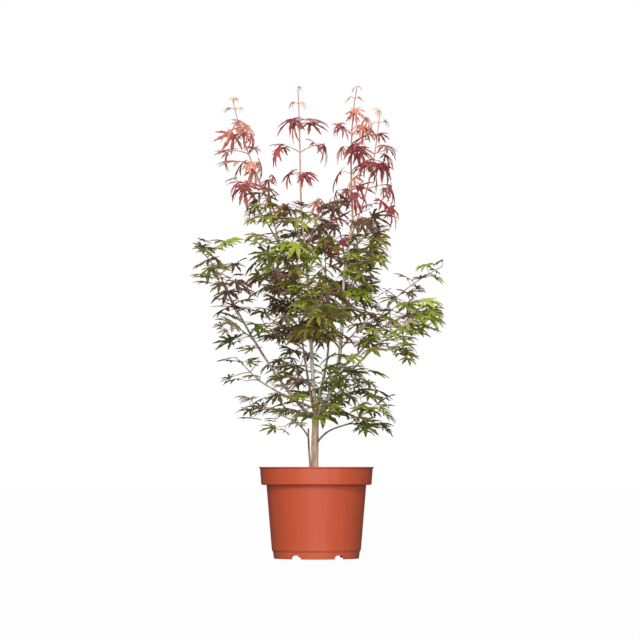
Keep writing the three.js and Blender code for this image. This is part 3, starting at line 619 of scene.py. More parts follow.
def frames(points):
    """The direction along a line at each point, with two steady side directions."""
    along = np.gradient(points, axis=0)
    along /= np.maximum(np.linalg.norm(along, axis=1), 1e-9)[:, None]
    side = np.cross(along[0], (0, 0, 1))
    if side @ side < 0.1:
        side = np.array([1.0, 0, 0])
    sides = []
    for way in along:
        side = side - way * (side @ way)
        side = side / np.linalg.norm(side)
        sides.append(side)
    sides = np.array(sides)
    return along, sides, np.cross(sides, along)


limbs = {}
for name, on, at, *bends, tip, thick, thin in ROWS:
    root = limbs[on]["spot"](at)[0] if on else at
    _, run, spot = bezier(root, bends, tip)
    limbs[name] = dict(name=name, on=on, at=at, run=run, spot=spot, radii=(thick, thin))
print("limbs:", ", ".join(f"{name} {limb['run']:.0f} mm" for name, limb in limbs.items()))

# %% Bark finishes
YOUNG_BARK = linear(206, 160, 140)
BLUSH_FROM, BLUSH_TO = 0.4, 0.56  # the heights between which the bark turns young, in metres


def bark(name, *colours):
    """Smooth young bark: streaks along the limb, grey bloom, pale pores and a blush high up."""
    light, dark, pore, grey = (linear(*colour) for colour in colours)
    finish = Finish(name, IOR=1.45, Specular_IOR_Level=0.3)
    long_streaks = finish.noise(260, 4, (1, 1, 0.12))
    bloom = finish.noise(38, 3)
    pores = finish.between(finish.noise(520, 1, (1, 1, 1.8)), 0.68, 0.78)
    colour = finish.pattern(long_streaks, 0.35, 0.65, dark, light)
    colour = finish.pattern(bloom, 0.5, 0.7, colour, grey, 0.6)
    colour = finish.mix(0.5 * pores, colour, pore)
    height = finish.node("ShaderNodeSeparateXYZ", {}, finish.place(), output="Z")
    colour = finish.pattern(height, BLUSH_FROM, BLUSH_TO, colour, YOUNG_BARK, 0.65)
    finish.set(Base_Color=colour, Roughness=0.86 - 0.22 * bloom)
    return finish.bump(0.75 * long_streaks + 0.5 * pores, 0.55, 0.0004)


TAN = bark("tan_bark", (212, 183, 156), (153, 117, 92), (224, 205, 184), (191, 172, 151))
PALE = bark("pale_bark", (228, 220, 202), (176, 162, 142), (238, 232, 218), (206, 200, 188))
BROWN = bark("brown_bark", (158, 130, 110), (92, 70, 56), (184, 158, 136), (132, 108, 92))
PURPLE = bark("purple_bark", (186, 166, 152), (128, 106, 98), (210, 196, 184), (168, 156, 150))
BARK_OF = {
    "trunk": TAN, "sprout": BROWN, "bough_right_low": BROWN,
    "leader_centre": PALE, "leader_right": PALE, "bough_centre": PALE,
}
print("four barks, and most boughs have the purple one")

# %% Tubes
CAP = 0.5  # how far a tube's end bulges, as a share of its radius


def swept(points, radii, sides, relief=1.0):
    """A closed tube; `relief` gives the radius a factor from ring and side."""
    along, side, over = frames(points)
    angles = (2 * np.pi * np.arange(sides) / sides)[None, :, None]
    out = side[:, None] * np.cos(angles) + over[:, None] * np.sin(angles)
    size = np.asarray(radii)[:, None] * np.ones((len(points), sides)) * relief
    rings = points[:, None] + out * size[..., None]
    tips = [points[0] - along[0] * radii[0] * CAP, points[-1] + along[-1] * radii[-1] * CAP]
    vertices = np.vstack([rings.reshape(-1, 3), tips])
    rows = [range(k * sides, (k + 1) * sides) for k in range(len(points))]
    return vertices, skinned([[len(vertices) - 2], *rows, [len(vertices) - 1]])


print("a tube's ends bulge by", CAP, "of its radius")

# %% Sweep the limbs with their relief
FLARE, FLARE_HEIGHT, BUD_STEP, RING_STEP = 2.2, 14, 27, 1.6  # in millimetres


def swelling(run, spot, size, length):
    """A factor for the radius that is largest at one spot of a limb."""
    return 1 + size * np.exp(-(((run - spot) / length) ** 2))


def limb_mesh(limb, number):
    """A limb with its flare or collar, its bud rings and its uneven bark."""
    trunk = limb["name"] == "trunk"
    rings, sides = max(24, int(limb["run"] / RING_STEP)), 36 if trunk else 18
    shares = np.linspace(0, 1, rings)
    points = limb["spot"](shares)
    radii = np.interp(shares, (0, 1), limb["radii"])
    run = shares * limb["run"]
    if trunk:
        rise = np.clip((points[:, 2] - points[0, 2]) / FLARE_HEIGHT, 0, 1)
        radii = radii + FLARE * (1 - rise) ** 2
    if limb["on"]:
        radii = radii * (1 + 0.45 * np.exp(-run / 5.0))
    for bud in np.arange(18 + within(6, number, 3), limb["run"] - 6, BUD_STEP):
        radii = radii * swelling(run, bud + within(5, number, int(bud)), 0.09, 1.5)
    for other in limbs.values():
        if other["on"] == limb["name"] and not trunk:
            radii = radii * swelling(run, other["at"] * limb["run"], 0.1, 5)
    relief = np.ones((rings, sides))
    for i in range(rings):
        for k in range(sides):
            x, y = ray_at(2 * math.pi * k / sides)
            lump = noise.noise(Vector((1.5 * x, 1.5 * y, run[i] / 22 + number * 7)))
            streak = noise.noise(Vector((4.2 * x, 4.2 * y, run[i] / 30 + number * 3)))
            relief[i, k] += 0.07 * lump + 0.05 * streak
    return swept(points, radii, sides, relief)


for number, (name, limb) in enumerate(limbs.items()):
    vertices, faces = limb_mesh(limb, number)
    if not limb["on"]:  # cut flat on the compost
        vertices[:, 2] = np.maximum(vertices[:, 2], SOIL_TOP)
    piece = mesh_piece(name + "_bark", vertices * MM, faces, BARK_OF.get(name, PURPLE))
    settle(piece, name, slot="bark")
print("swept", len(limbs), "limbs")

# %% [markdown]
# ## How the foliage grows
#
# A maple's leaves and twigs stand in opposite pairs, each pair a quarter turn from the last. That
# rule, a table of stems and a repeatable draw of chance are enough to grow the crown: along each
# stem, every node gives two twigs or two leaves, and each twig does the same again. A particle
# system could strew leaves over a shape more quickly, but they wouldn't hang on twigs.
#
# Every stem belongs to one mass of foliage in the frame. A leaf is kept only if it stays within
# the reach of that mass, clear of the limbs and clear of the leaves that are already there.

# %% The stems' table, in millimetres
# Name, the limb it grows on and how far along; its two bends and its tip; the room it has to the
# left, right, foot and head; how many nodes it has, its longest twig and its first node. Then:
# leaf, a leaf's length; droop, how far leaves hang; air, 1 in the thick and more in the open;
# slant, how far the room leans; apart, between a twig's nodes; bare, where its twigs end.
KEYS = ("name", "on", "at", "first", "second", "tip", "room", "nodes", "twig", "start")
USUAL = dict(red=False, leaf=41, droop=0.15, air=1.5, slant=0, apart=24)
RED = dict(red=True, leaf=41, droop=0.6, air=1.5, slant=0, apart=44, bare=0.86)
MASSES = [
    ("left_bottom", "trunk", 0.93, [-36, -10, 242], [-66, -16, 246], [-108, -20, 252],
     [-133, -16, 233, 273], 6, 20, 0.3, dict(leaf=32, droop=0.06, air=1.8)),
    ("low_left", "sprout", 0.8, [-24, -22, 222], [-42, -34, 231], [-72, -42, 240],
     [-100, -12, 220, 252], 5, 20, 0.3, dict(leaf=30, droop=0.06, air=2.2)),
    ("left_low", "bough_left_low", 1, [-100, -48, 297], [-108, -50, 306], [-130, -50, 328],
     [-157, -66, 288, 344], 4, 28, 0.05, dict(leaf=30, droop=0.1, air=3.2)),
    ("left_ring", "leader_centre", 0.14, [-24, -24, 298], [-44, -36, 300], [-72, -46, 303],
     [-88, -8, 285, 322], 5, 22, 0.2, dict(leaf=32, droop=0.06, air=2.2)),
    ("left_under", "bough_left_long", 0.62, [-104, -34, 366], [-120, -38, 376], [-146, -42, 386],
     [-168, -84, 350, 400], 4, 24, 0.2, dict(leaf=34, droop=0.1, air=2.1)),
    ("left_inner", "bough_left_long", 0.74, [-92, -36, 372], [-76, -42, 384], [-52, -46, 404],
     [-112, -28, 334, 424], 5, 32, 0.2, dict(air=2.0)),
    ("left_arm", "bough_left_long", 0.9, [-138, -46, 412], [-142, -62, 416], [-130, -84, 424],
     [-168, -94, 388, 448], 6, 38, 0.04, dict(leaf=48, air=1.7)),
    ("left_tip", "bough_left_long", 1, [-156, -31, 460], [-162, -31, 478], [-198, -28, 516],
     [-211, -110, 460, 527], 6, 34, 0.05, dict(leaf=36, droop=0.1, air=2.1)),
    ("mid_left", "leader_left", 0.3, [-44, -20, 452], [-62, -32, 466], [-84, -40, 498],
     [-80, 14, 418, 540], 7, 44, 0.12, dict(slant=-40)),
    ("back_left", "leader_left", 0.45, [-50, 40, 466], [-60, 70, 476], [-70, 100, 500],
     [-122, -16, 400, 540], 5, 46, 0.2, dict(air=2)),
    ("upper_left", "leader_left", 0.72, [-74, -10, 544], [-84, -20, 558], [-98, -24, 580],
     [-116, -36, 520, 608], 5, 28, 0.16, dict(leaf=34)),
    ("left_top", "leader_left", 1, [-84, 6, 610], [-124, 0, 680], [-139, 0, 762],
     [-126, -44, 568, 770], 8, 38, 0.14, dict(red=True, leaf=42, slant=-92, apart=26, bare=0.7)),
    ("centre_top", "leader_centre", 1, [-28, 0, 620], [-26, -4, 700], [-31, 0, 783],
     [-86, 38, 562, 788], 6, 28, 0.1, dict(red=True, leaf=38)),
    ("right_top", "leader_right", 1, [56, 6, 640], [56, 4, 730], [68, 2, 783],
     [28, 98, 562, 788], 8, 30, 0.04, dict(red=True, leaf=42, air=1, apart=26)),
    ("right_outer", "leader_right", 0.9, [86, -22, 600], [98, -24, 660], [105, -18, 738],
     [50, 132, 560, 748], 8, 30, 0.14, dict(red=True, leaf=46, air=1, apart=26)),
    ("upper_right", "leader_right", 0.8, [68, 30, 530], [82, 38, 540], [106, 40, 548],
     [28, 120, 500, 596], 5, 34, 0.15, dict(air=1.1)),
    ("upper_centre", "leader_right", 0.8, [44, -34, 530], [34, -44, 550], [22, -46, 590],
     [-22, 68, 520, 624], 5, 32, 0.25, dict(air=1)),
    ("upper_front", "leader_centre", 0.74, [-26, -28, 516], [-32, -44, 536], [-34, -62, 574],
     [-86, 16, 486, 620], 5, 38, 0.15, dict(air=1)),
    ("upper_back", "leader_centre", 0.82, [-14, 30, 526], [-8, 50, 538], [-2, 78, 562],
     [-70, 60, 486, 612], 4, 42, 0.15, dict(air=1)),
    ("mid_right", "leader_right", 0.62, [54, -26, 448], [66, -40, 466], [78, -48, 500],
     [26, 92, 404, 538], 6, 42, 0.15, dict(air=1)),
    ("back_right", "leader_right", 0.58, [54, 44, 430], [62, 70, 446], [68, 100, 480],
     [14, 108, 396, 530], 5, 46, 0.2, dict(air=1.4)),
    ("centre", "bough_centre", 1, [22, -32, 390], [16, -40, 430], [14, -44, 522],
     [-46, 62, 346, 560], 9, 42, 0.04, dict(air=1)),
    ("centre_left", "leader_centre", 0.28, [-16, -18, 340], [-26, -28, 350], [-46, -36, 358],
     [-64, 4, 326, 382], 4, 24, 0.3, {}),
    ("front_arm", "bough_front", 1, [14, -88, 380], [6, -104, 400], [-6, -116, 440],
     [-48, 62, 326, 470], 6, 50, 0.05, dict(air=1)),
    ("back_arm", "bough_back", 1, [-30, 84, 390], [-30, 110, 412], [-20, 144, 446],
     [-84, 60, 330, 470], 5, 50, 0.05, dict(air=1)),
    ("right_inner", "leader_right", 0.4, [56, -10, 366], [66, -16, 376], [88, -22, 396],
     [28, 118, 336, 424], 5, 32, 0.2, dict(leaf=42, air=1)),
    ("right_arm", "bough_right_spread", 1, [124, 24, 392], [150, 24, 404], [196, 16, 414],
     [96, 216, 376, 438], 7, 38, 0.04, dict(air=1.3)),
    ("right_tip", "bough_right_spread", 0.8, [102, 8, 404], [128, 0, 440], [210, 2, 484],
     [92, 217, 418, 492], 8, 17, 0.3, dict(leaf=30, droop=0.1, air=2.1)),
    ("right_lower", "bough_right_lower", 1, [100, -40, 352], [114, -42, 362], [140, -42, 370],
     [60, 172, 320, 414], 6, 40, 0.03, dict(air=1.7)),
    ("right_low", "leader_right", 0.07, [34, 18, 276], [58, 26, 294], [94, 30, 292],
     [22, 118, 268, 334], 6, 30, 0.28, dict(droop=0.1, air=2.1)),
    ("right_bottom", "bough_right_low", 1, [62, -20, 224], [80, -22, 240], [112, -24, 262],
     [40, 134, 206, 280], 5, 30, 0.06, dict(leaf=34, droop=0.1, air=1.8)),
    ("front_mid", "bough_front", 0.5, [22, -52, 300], [30, -62, 308], [40, -88, 326],
     [-24, 84, 268, 358], 5, 40, 0.25, dict(leaf=42, air=1.3)),
    ("front_low", "trunk", 0.96, [-8, -28, 252], [-8, -48, 258], [-4, -80, 266],
     [-60, 62, 218, 300], 6, 36, 0.26, dict(air=2.0)),
    ("back_mid", "bough_back", 0.5, [-24, 54, 300], [-34, 66, 312], [-40, 92, 330],
     [-96, 30, 262, 356], 4, 34, 0.25, dict(air=1.9)),
    ("back_low", "trunk", 0.86, [12, 30, 238], [22, 56, 252], [20, 88, 286],
     [-60, 72, 212, 326], 4, 38, 0.3, {}),
]
MASSES = [
    {**(RED if "red" in more else USUAL), **dict(zip(KEYS, row)), **more} for *row, more in MASSES
]
print(len(MASSES), "masses")

# %% Room for leaves
UP = np.array([0.0, 0, 1])
SPARE = np.array([6.0, 8.0, 10.0])  # how far a finer leaf may reach past its solid


def gap_to_lines(points, starts, ends):
    """The distance from each point to each straight piece."""
    along = ends - starts
    share = ((points[:, None] - starts) * along).sum(-1) / (along * along).sum(-1)
    nearest = starts + np.clip(share, 0, 1)[..., None] * along
    return np.linalg.norm(points[:, None] - nearest, axis=-1)


PIECES = 8  # straight pieces that stand for a limb
lines = [limb["spot"](np.linspace(0, 1, PIECES + 1)) for limb in limbs.values()]
LIMB_STARTS = np.vstack([line[:-1] for line in lines])
LIMB_ENDS = np.vstack([line[1:] for line in lines])
LIMB_RADII = np.repeat([max(limb["radii"]) for limb in limbs.values()], PIECES)


def reach_of(name):
    """The box that a mass may fill: its solid's own and a little more, inside the whole part's."""
    low, high = (np.array(corner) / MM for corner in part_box("foliage_" + name))
    whole_low, whole_high = (np.array(corner) / MM for corner in cad_box)
    return np.maximum(low - SPARE, whole_low), np.minimum(high + SPARE, whole_high)


def fits(points, mass, clearance):
    low, high = mass["reach"]
    if (points < low).any() or (points > high).any():
        return False
    left, right, foot, head = mass["room"]
    x = points[:, 0] - mass["slant"] * (points[:, 2] - foot) / (head - foot)
    if (x < left - SPARE[0]).any() or (x > right + SPARE[0]).any():
        return False
    return (gap_to_lines(points, LIMB_STARTS, LIMB_ENDS) > LIMB_RADII + clearance).all()


print("leaves keep clear of", len(LIMB_STARTS), "straight pieces of limb")

# %% [markdown]
# ## A palmate leaf
#
# A Japanese maple's leaf has five or seven long pointed lobes with toothed edges, a rib down each
# lobe, and a thin stalk. A flat card with a leaf's picture on it would be lighter, but it has no
# edge or fold to catch the light. Here each lobe is a strip of faces on both sides of its rib,
# lifted at the edges and bent down at the tip, and a second, paler layer closes the underside.

# %% The leaf's faces
TURNS = np.array([-112.0, -77, -39, 0, 39, 77, 112])  # each lobe's direction, in degrees
REACH = np.array([0.42, 0.74, 0.94, 1.0, 0.94, 0.74, 0.42])  # and its length
RIB = np.array([0.17, 0.36, 0.5, 0.64, 0.77, 0.88, 0.95])  # points along a lobe
WIDTH = np.array([0.072, 0.104, 0.106, 0.082, 0.046, 0.017])  # half its width from the second on
TEETH = 1 + 0.17 * np.array([1, -1, 1, -1, 1, -1])
SINUS, CORNER = 0.29, 0.09  # how far out the edge is between lobes and beside the stalk
THICK = 0.35  # the blade, in millimetres
LOBES, RIBS, EDGES = len(TURNS), len(RIB), len(WIDTH)
PER_LOBE = RIBS + 2 * EDGES + 1


def leaf_faces():
    """The faces of one leaf; the underside's ribs come after all the points of the top."""
    top_count = 1 + LOBES + 1 + LOBES * PER_LOBE
    firsts = [2 + LOBES + lobe * PER_LOBE for lobe in range(LOBES)]
    inner = {0: top_count}
    for lobe, first in enumerate(firsts):
        for rib in range(RIBS):
            inner[first + rib] = top_count + 1 + lobe * RIBS + rib
    top = []
    for lobe, first in enumerate(firsts):
        ribs = [first + k for k in range(RIBS)]
        right = [1 + lobe] + [first + RIBS + k for k in range(EDGES)]
        left = [2 + lobe] + [first + RIBS + EDGES + k for k in range(EDGES)]
        tip = first + PER_LOBE - 1
        top += [(0, right[0], ribs[0]), (0, ribs[0], left[0])]
        for k in range(EDGES):
            top.append((ribs[k], right[k], right[k + 1], ribs[k + 1]))
            top.append((ribs[k], ribs[k + 1], left[k + 1], left[k]))
        top += [(ribs[-1], right[-1], tip), (ribs[-1], tip, left[-1])]
    return top, [tuple(inner.get(corner, corner) for corner in face[::-1]) for face in top]


LEAF_TOP, LEAF_UNDER = leaf_faces()
print("one leaf has", len(LEAF_TOP) + len(LEAF_UNDER), "faces")

# %% The leaf's points
def placed(leaf, flat, lift):
    """A leaf's points, told in leaf lengths along its blade and off it, as points of the plant."""
    shape = np.column_stack([flat, lift]) * leaf["length"]
    return leaf["base"] + shape @ np.array([leaf["forward"], leaf["left"], leaf["normal"]])


def leaf_points(leaf):
    """One leaf's points, in millimetres."""
    def each(amount, number):
        return np.array([within(amount, *leaf["keys"], number, i) for i in range(LOBES)])

    turns = np.radians(TURNS * leaf["spread"] + each(6, 31))
    reach = REACH * (1 + each(0.09, 32))
    fold = 0.45 + within(0.3, *leaf["keys"], 33)
    curl = each(0.1, 34)
    between = np.concatenate([[turns[0] - 0.75], (turns[1:] + turns[:-1]) / 2, [turns[-1] + 0.75]])
    sinus = SINUS * np.minimum(reach[1:], reach[:-1]) + 0.02
    depth = np.concatenate([[CORNER], sinus, [CORNER]])
    flat = [np.zeros((1, 2)), np.stack([depth * np.cos(between), depth * np.sin(between)], axis=1)]
    lift = [np.zeros(1), np.full(LOBES + 1, 0.02)]
    for lobe in range(LOBES):
        way = ray_at(turns[lobe])
        across = np.array([-way[1], way[0]])
        share = RIB[1:] + 0.012
        half = WIDTH * reach[lobe] * TEETH * leaf["breadth"]
        bow = 0.1 * curl[lobe] * RIB**2
        ribs = (way * RIB[:, None] + across * bow[:, None]) * reach[lobe]
        spine = (way * share[:, None] + across * bow[1:, None]) * reach[lobe]
        tip = ((way + across * 0.1 * curl[lobe]) * reach[lobe])[None]
        flat += [ribs, spine - across * half[:, None], spine + across * half[:, None], tip]
        twist = curl[lobe] * 0.8
        lift += [np.zeros(RIBS), half * (fold - twist), half * (fold + twist), np.zeros(1)]
    flat, lift = np.vstack(flat), np.concatenate(lift)
    out = np.hypot(flat[:, 0], flat[:, 1])
    lift = lift - (0.08 + 0.34 * leaf["droop"]) * out**2 - 0.05 * out**4
    points = placed(leaf, flat, lift)
    ribs = [0] + [2 + LOBES + lobe * PER_LOBE + k for lobe in range(LOBES) for k in range(RIBS)]
    below = points[ribs] - np.array(leaf["normal"]) * THICK
    return np.vstack([points, below])


def leaf_samples(leaf):
    """A few points across a leaf, to test whether it has room."""
    lobes = [(ray_at(turn), far) for turn, far in zip(np.radians(TURNS[1:-1]), REACH[1:-1])]
    flat = np.array([(0.0, 0.0)] + [r * far * way for way, far in lobes for r in (0.5, 1.0)])
    out = np.hypot(flat[:, 0], flat[:, 1])
    return placed(leaf, flat, -(0.1 + 0.34 * leaf["droop"]) * out**2)


print("its shortest lobes have", REACH.min(), "of its length")

# %% Hang a leaf on its stalk
STALK = 0.55  # its usual length, as a share of the leaf's


def turned(way, degrees):
    """A direction, turned about the upright axis."""
    (x, y, z), (c, s) = way, ray_at(math.radians(degrees))
    return np.array([x * c - y * s, x * s + y * c, z])


def unit(way):
    return way / np.linalg.norm(way)


def place_leaf(node, way, length, droop, keys):
    """A leaf on a stalk that leaves its node along `way`, hung and turned a little by chance."""
    stalk = length * STALK * (0.8 + 0.5 * chance(*keys, 1))
    base = node + way * stalk - UP * droop * stalk * 0.25
    heading = ray_at(math.atan2(way[1], way[0]) + math.radians(within(28, *keys, 2)))
    pitch = ray_at(math.radians(-2 - 55 * droop + within(20 + 22 * droop, *keys, 3)))
    roll = ray_at(math.radians(within(36, *keys, 4)))
    forward = np.array([*(heading * pitch[0]), pitch[1]])
    level = np.array([-heading[1], heading[0], 0.0])
    left = level * roll[0] + np.cross(forward, level) * roll[1]
    return dict(
        node=node, base=base, forward=forward, left=left, normal=np.cross(forward, left),
        length=length, droop=droop, keys=keys,
    )


print("a stalk has about", STALK, "of its leaf's length")

# %% Find room for a leaf
LEAF_APART, BLADE_APART = 0.36, 3.0  # between leaf bases, in leaf lengths, and blades, in mm
LEAF_TRIES, LEAF_CLEAR = 12, 1.2  # and how far a leaf keeps from a limb, in millimetres
MOST_LEAVES, SAMPLES = 4000, 11  # room for so many leaves, each with its test points
leaves = []
seen = dict(base=np.zeros((MOST_LEAVES, 3)), points=np.zeros((MOST_LEAVES, SAMPLES, 3)), count=0)


def crowded(leaf, points, air):
    """Whether the leaf comes too near one that is already there."""
    count = seen["count"]
    near = np.linalg.norm(seen["base"][:count] - leaf["base"], axis=1)
    if (near < LEAF_APART * air * leaf["length"]).any():
        return True
    close = seen["points"][:count][near < 2.1 * leaf["length"]].reshape(-1, 3)
    gaps = np.linalg.norm(close[:, None] - points, axis=-1)
    return len(close) > 0 and gaps.min() < BLADE_APART * air


def add_leaf(mass, node, way, size, keys, kind):
    """Tries a leaf turned a little further each time, until one has room."""
    for attempt in range(LEAF_TRIES):
        toward = turned(way, (1 if attempt % 2 else -1) * 5 * attempt)
        toward = unit(toward + UP * within(0.06 * attempt, *keys, attempt, 21))
        droop = mass["droop"] * (0.5 + chance(*keys, 12))
        leaf = place_leaf(node, toward, size * 0.975**attempt, droop, (*keys, attempt))
        points = leaf_samples(leaf)
        if not fits(points, mass, LEAF_CLEAR) or crowded(leaf, points, mass["air"]):
            continue
        leaf["kind"] = kind
        leaf["breadth"] = (0.7 if mass["red"] else 0.98) * (1 + within(0.15, *keys, 5))
        leaf["spread"] = 0.8 + within(0.25, *keys, 6) if mass["red"] else 1.0
        leaves.append(leaf)
        seen["base"][seen["count"]], seen["points"][seen["count"]] = leaf["base"], points
        seen["count"] += 1
        return


print("each leaf has", LEAF_TRIES, "tries")

# %% Twigs
FIRST_TWIG, SECOND_TWIG, LONG_TWIG = 14, 7, 26  # the shortest, and which ones branch, in mm
FINER_APART, TWIG_CLEAR = 30, 0.9  # between a finer twig's nodes, and from a limb, in mm
SAG, END_LEAF = 0.16, 0.62  # a twig's sag by its length, and its last leaf by the usual one
twigs = []


def add_twig(mass, start, heading, length, keys, kind, order=1):
    """A side twig that arches out, with pairs of finer twigs and then leaves at its nodes."""
    first, reach = order == 1, length
    while reach >= (FIRST_TWIG if first else SECOND_TWIG):
        end = start + heading * reach - UP * SAG * reach
        middle = start + heading * reach / 2
        t = np.linspace(0, 1, 8)[:, None]
        points = arc_point(t, start, middle, end)
        if fits(points[3:], mass, TWIG_CLEAR):
            break
        reach *= 0.8
    else:
        return False
    before = len(leaves)
    count = max(1, round(reach / (mass["apart"] if first else FINER_APART)))
    along, side, _ = frames(points)
    for k in range(count):
        last = k == count - 1
        share = (k + 1) / count
        place = np.array([np.interp(share, t[:, 0], axis) for axis in points.T])
        spot = min(len(points) - 1, round(share * (len(points) - 1)))
        for hand in (1, -1):
            way = along[spot] * (0.9 if last else 0.5) + side[spot] * 0.75 * hand
            way[2] = way[2] * 0.6 + 0.14 + within(0.12, *keys, k, hand + 3)
            size = mass["leaf"] * (0.78 + 0.3 * chance(*keys, k, hand + 2))
            if first and not last and reach > LONG_TWIG:
                finer = 10 + 12 * chance(*keys, k, hand + 9)
                if add_twig(mass, place, unit(way), finer, (*keys, k, hand + 11), kind, 2):
                    continue
            add_leaf(mass, place, unit(way), size, (*keys, k, hand + 5), kind)
    end_way = unit(along[-1] + UP * 0.1)
    add_leaf(mass, points[-1], end_way, mass["leaf"] * END_LEAF, (*keys, 41), kind)
    if len(leaves) == before:
        return False
    radii = (1.0, 0.62) if first else (0.6, 0.45)
    twigs.append(dict(points=points, radii=radii, red=mass["red"]))
    return True


print("no twig is shorter than", SECOND_TWIG, "mm")

# %% [markdown]
# ## Colours by spray
#
# A maple's leaves don't change colour one by one: a whole spray is red, bronze or green, by its age
# and the sun it gets. So each stem has a palette, and each twig draws one kind for all its
# leaves. The kinds are plain colours, and the leaf's own finish adds veins and small changes.

# %% Palettes
OLD_WOOD, PALE_TIPS = 0.28, 0.86  # where a red stem's old leaves end and its pale ones begin
PALETTES = {  # kinds of leaf, each with its weight
    "left_bottom": "rose 5, deep 3, olive 2", "low_left": "rose 3, deep 5, green 3",
    "left_low": "deep 5, green 5, olive 2", "left_ring": "deep 4, green 2, rose 3",
    "left_under": "rose 4, olive 3, deep 3", "left_inner": "bronze 5, deep 3, rose 2",
    "left_arm": "bronze 8, green 3, olive 1", "left_tip": "green 4, bronze 3, bright 2",
    "mid_left": "olive 4, green 3, bronze 4", "back_left": "olive 3, deep 3, bronze 3",
    "upper_left": "green 4, olive 3, bronze 3", "left_top": "red 4, salmon 4, crimson 3",
    "left_top_foot": "olive 4, bronze 4, salmon 3", "centre_top_foot": "green 3, salmon 3, olive 2",
    "right_top_foot": "bronze 5, crimson 3, olive 2",
    "right_outer_foot": "crimson 4, bronze 4, olive 2", "centre_top": "red 5, crimson 3, salmon 3",
    "right_top": "salmon 4, red 4, crimson 2", "right_outer": "salmon 5, red 3, crimson 2",
    "upper_right": "green 4, bronze 3, olive 3", "upper_centre": "bronze 6, olive 2, crimson 1",
    "upper_front": "bronze 5, green 4, olive 2", "upper_back": "bronze 5, olive 4",
    "mid_right": "bronze 4, green 3, olive 3", "back_right": "olive 3, bronze 3, green 2",
    "centre_left": "bronze 5, deep 2", "right_tip": "bronze 4, olive 3, green 1",
    "centre": "green 4, olive 5, bronze 3", "front_arm": "olive 4, green 4, bronze 4",
    "back_arm": "bronze 4, olive 4", "right_inner": "olive 5, bronze 4, green 2",
    "right_arm": "bright 4, green 5, olive 2", "right_lower": "rose 4, olive 3, green 4",
    "right_low": "green 4, olive 3, deep 2, rose 4", "right_bottom": "deep 5, green 4, olive 2",
    "front_mid": "deep 3, green 5, rose 2", "front_low": "deep 3, green 5, rose 3",
    "back_mid": "deep 4, olive 3", "back_low": "deep 4, green 3, rose 2",
}
for name, text in PALETTES.items():
    words = text.replace(",", "").split()
    PALETTES[name] = [(kind, int(weight)) for kind, weight in zip(words[::2], words[1::2])]


def pick(palette, *keys):
    """Deals out one kind of leaf for a whole spray."""
    number = chance(*keys) * sum(weight for _, weight in palette)
    for kind, weight in palette:
        number -= weight
        if number <= 0:
            return kind
    return palette[-1][0]


print(len(PALETTES), "palettes")

# %% Grow the crown
def growth(mass, index):
    """Walks up a stem and adds a pair of twigs or leaves at each of its nodes."""
    limb, red, count, start = limbs[mass["on"]], mass["red"], mass["nodes"], mass["start"]
    root = limb["spot"](mass["at"])[0]
    along, _, spot = bezier(root, (mass["first"], mass["second"]), mass["tip"])
    thick = limb["radii"][1] * 0.98 if mass["at"] == 1 else 1.5
    stems.append(dict(points=spot(np.linspace(0, 1, 40)), radii=(thick, 0.75), red=red))
    shares = [start + (1 - start) * (1 - (1 - k / (count - 1)) ** 1.2) for k in range(count)]
    nodes = [(share, k, True) for k, share in enumerate(shares)]
    if not red:  # single leaves stand between the nodes that have twigs
        pairs = enumerate(zip(shares, shares[1:]))
        nodes += [((a + b) / 2, k + 50, False) for k, (a, b) in pairs]
    for share, k, main in nodes:
        line = along([max(share - 0.01, 0), share, min(share + 0.01, 1)])
        way, side, over = (axis[1] for axis in frames(line))
        young = min(2.4 * (1 - share) ** 1.6 + 0.3, 1) if red else 1 - 0.3 * share**4
        old = PALETTES[mass["name"] + ("_foot" if red and share < OLD_WOOD else "")]
        twiggy = main and k < count - 1 and not (red and share > mass["bare"])
        for half in (0, 1):
            keys = (index + 1, k, half)
            turn = 90 * k + 180 * half + within(20, *keys) + (0 if main else 45)
            x, y = ray_at(math.radians(turn))
            heading = side * x + over * y + way * 0.4
            heading[2] = heading[2] * 0.5 + (0.45 if red else 0.12)
            heading = unit(heading)
            shorter = 1 - (0.8 if red else 0.5) * share * share
            length = mass["twig"] * shorter * (0.75 + 0.5 * chance(*keys, 7))
            size = mass["leaf"] * young * (0.85 + 0.25 * chance(*keys, 8))
            kind = "pale" if red and share > PALE_TIPS else pick(old, *keys, 77)
            branches = twiggy and length > FIRST_TWIG
            if not (branches and add_twig(mass, line[1], heading, length, keys, kind)):
                add_leaf(mass, line[1], heading, size, (*keys, 9), kind)


stems = []
for index, mass in enumerate(MASSES):
    mass["reach"] = reach_of(mass["name"])
    grown = len(leaves)
    growth(mass, index)
    print(mass["name"], len(leaves) - grown, end=", ")
print("and", len(leaves), "leaves in all")

# %% [markdown]
# ## Leaf and shoot finishes
#
# A leaf's upper side has a soft waxy gloss over a colour that is a little darker or yellower from
# place to place, and its underside is paler and duller. Veins are too fine to model here, so a
# fine noise in the bump stands for them. The old twigs are grey, and the new ones and the
# stalks are pink to red.

# %% Leaf finishes
def leaf_finish(name, colour, second, gloss):
    """A leaf's side: a plain base colour that shifts a little towards a second one."""
    finish = Finish(name, IOR=1.45, Specular_IOR_Level=0.22)
    broad = finish.noise(45, 2)
    fine = finish.noise(700, 3)
    colour, second = linear(*colour), linear(*second)
    tone = finish.pattern(broad, 0.35, 0.65, colour, second, 0.75)
    finish.set(Base_Color=finish.pattern(fine, 0.5, 0.75, tone, second, 0.3))
    finish.set(Roughness=gloss + 0.18 * fine)
    return finish.bump(fine, 0.35, 0.0003)


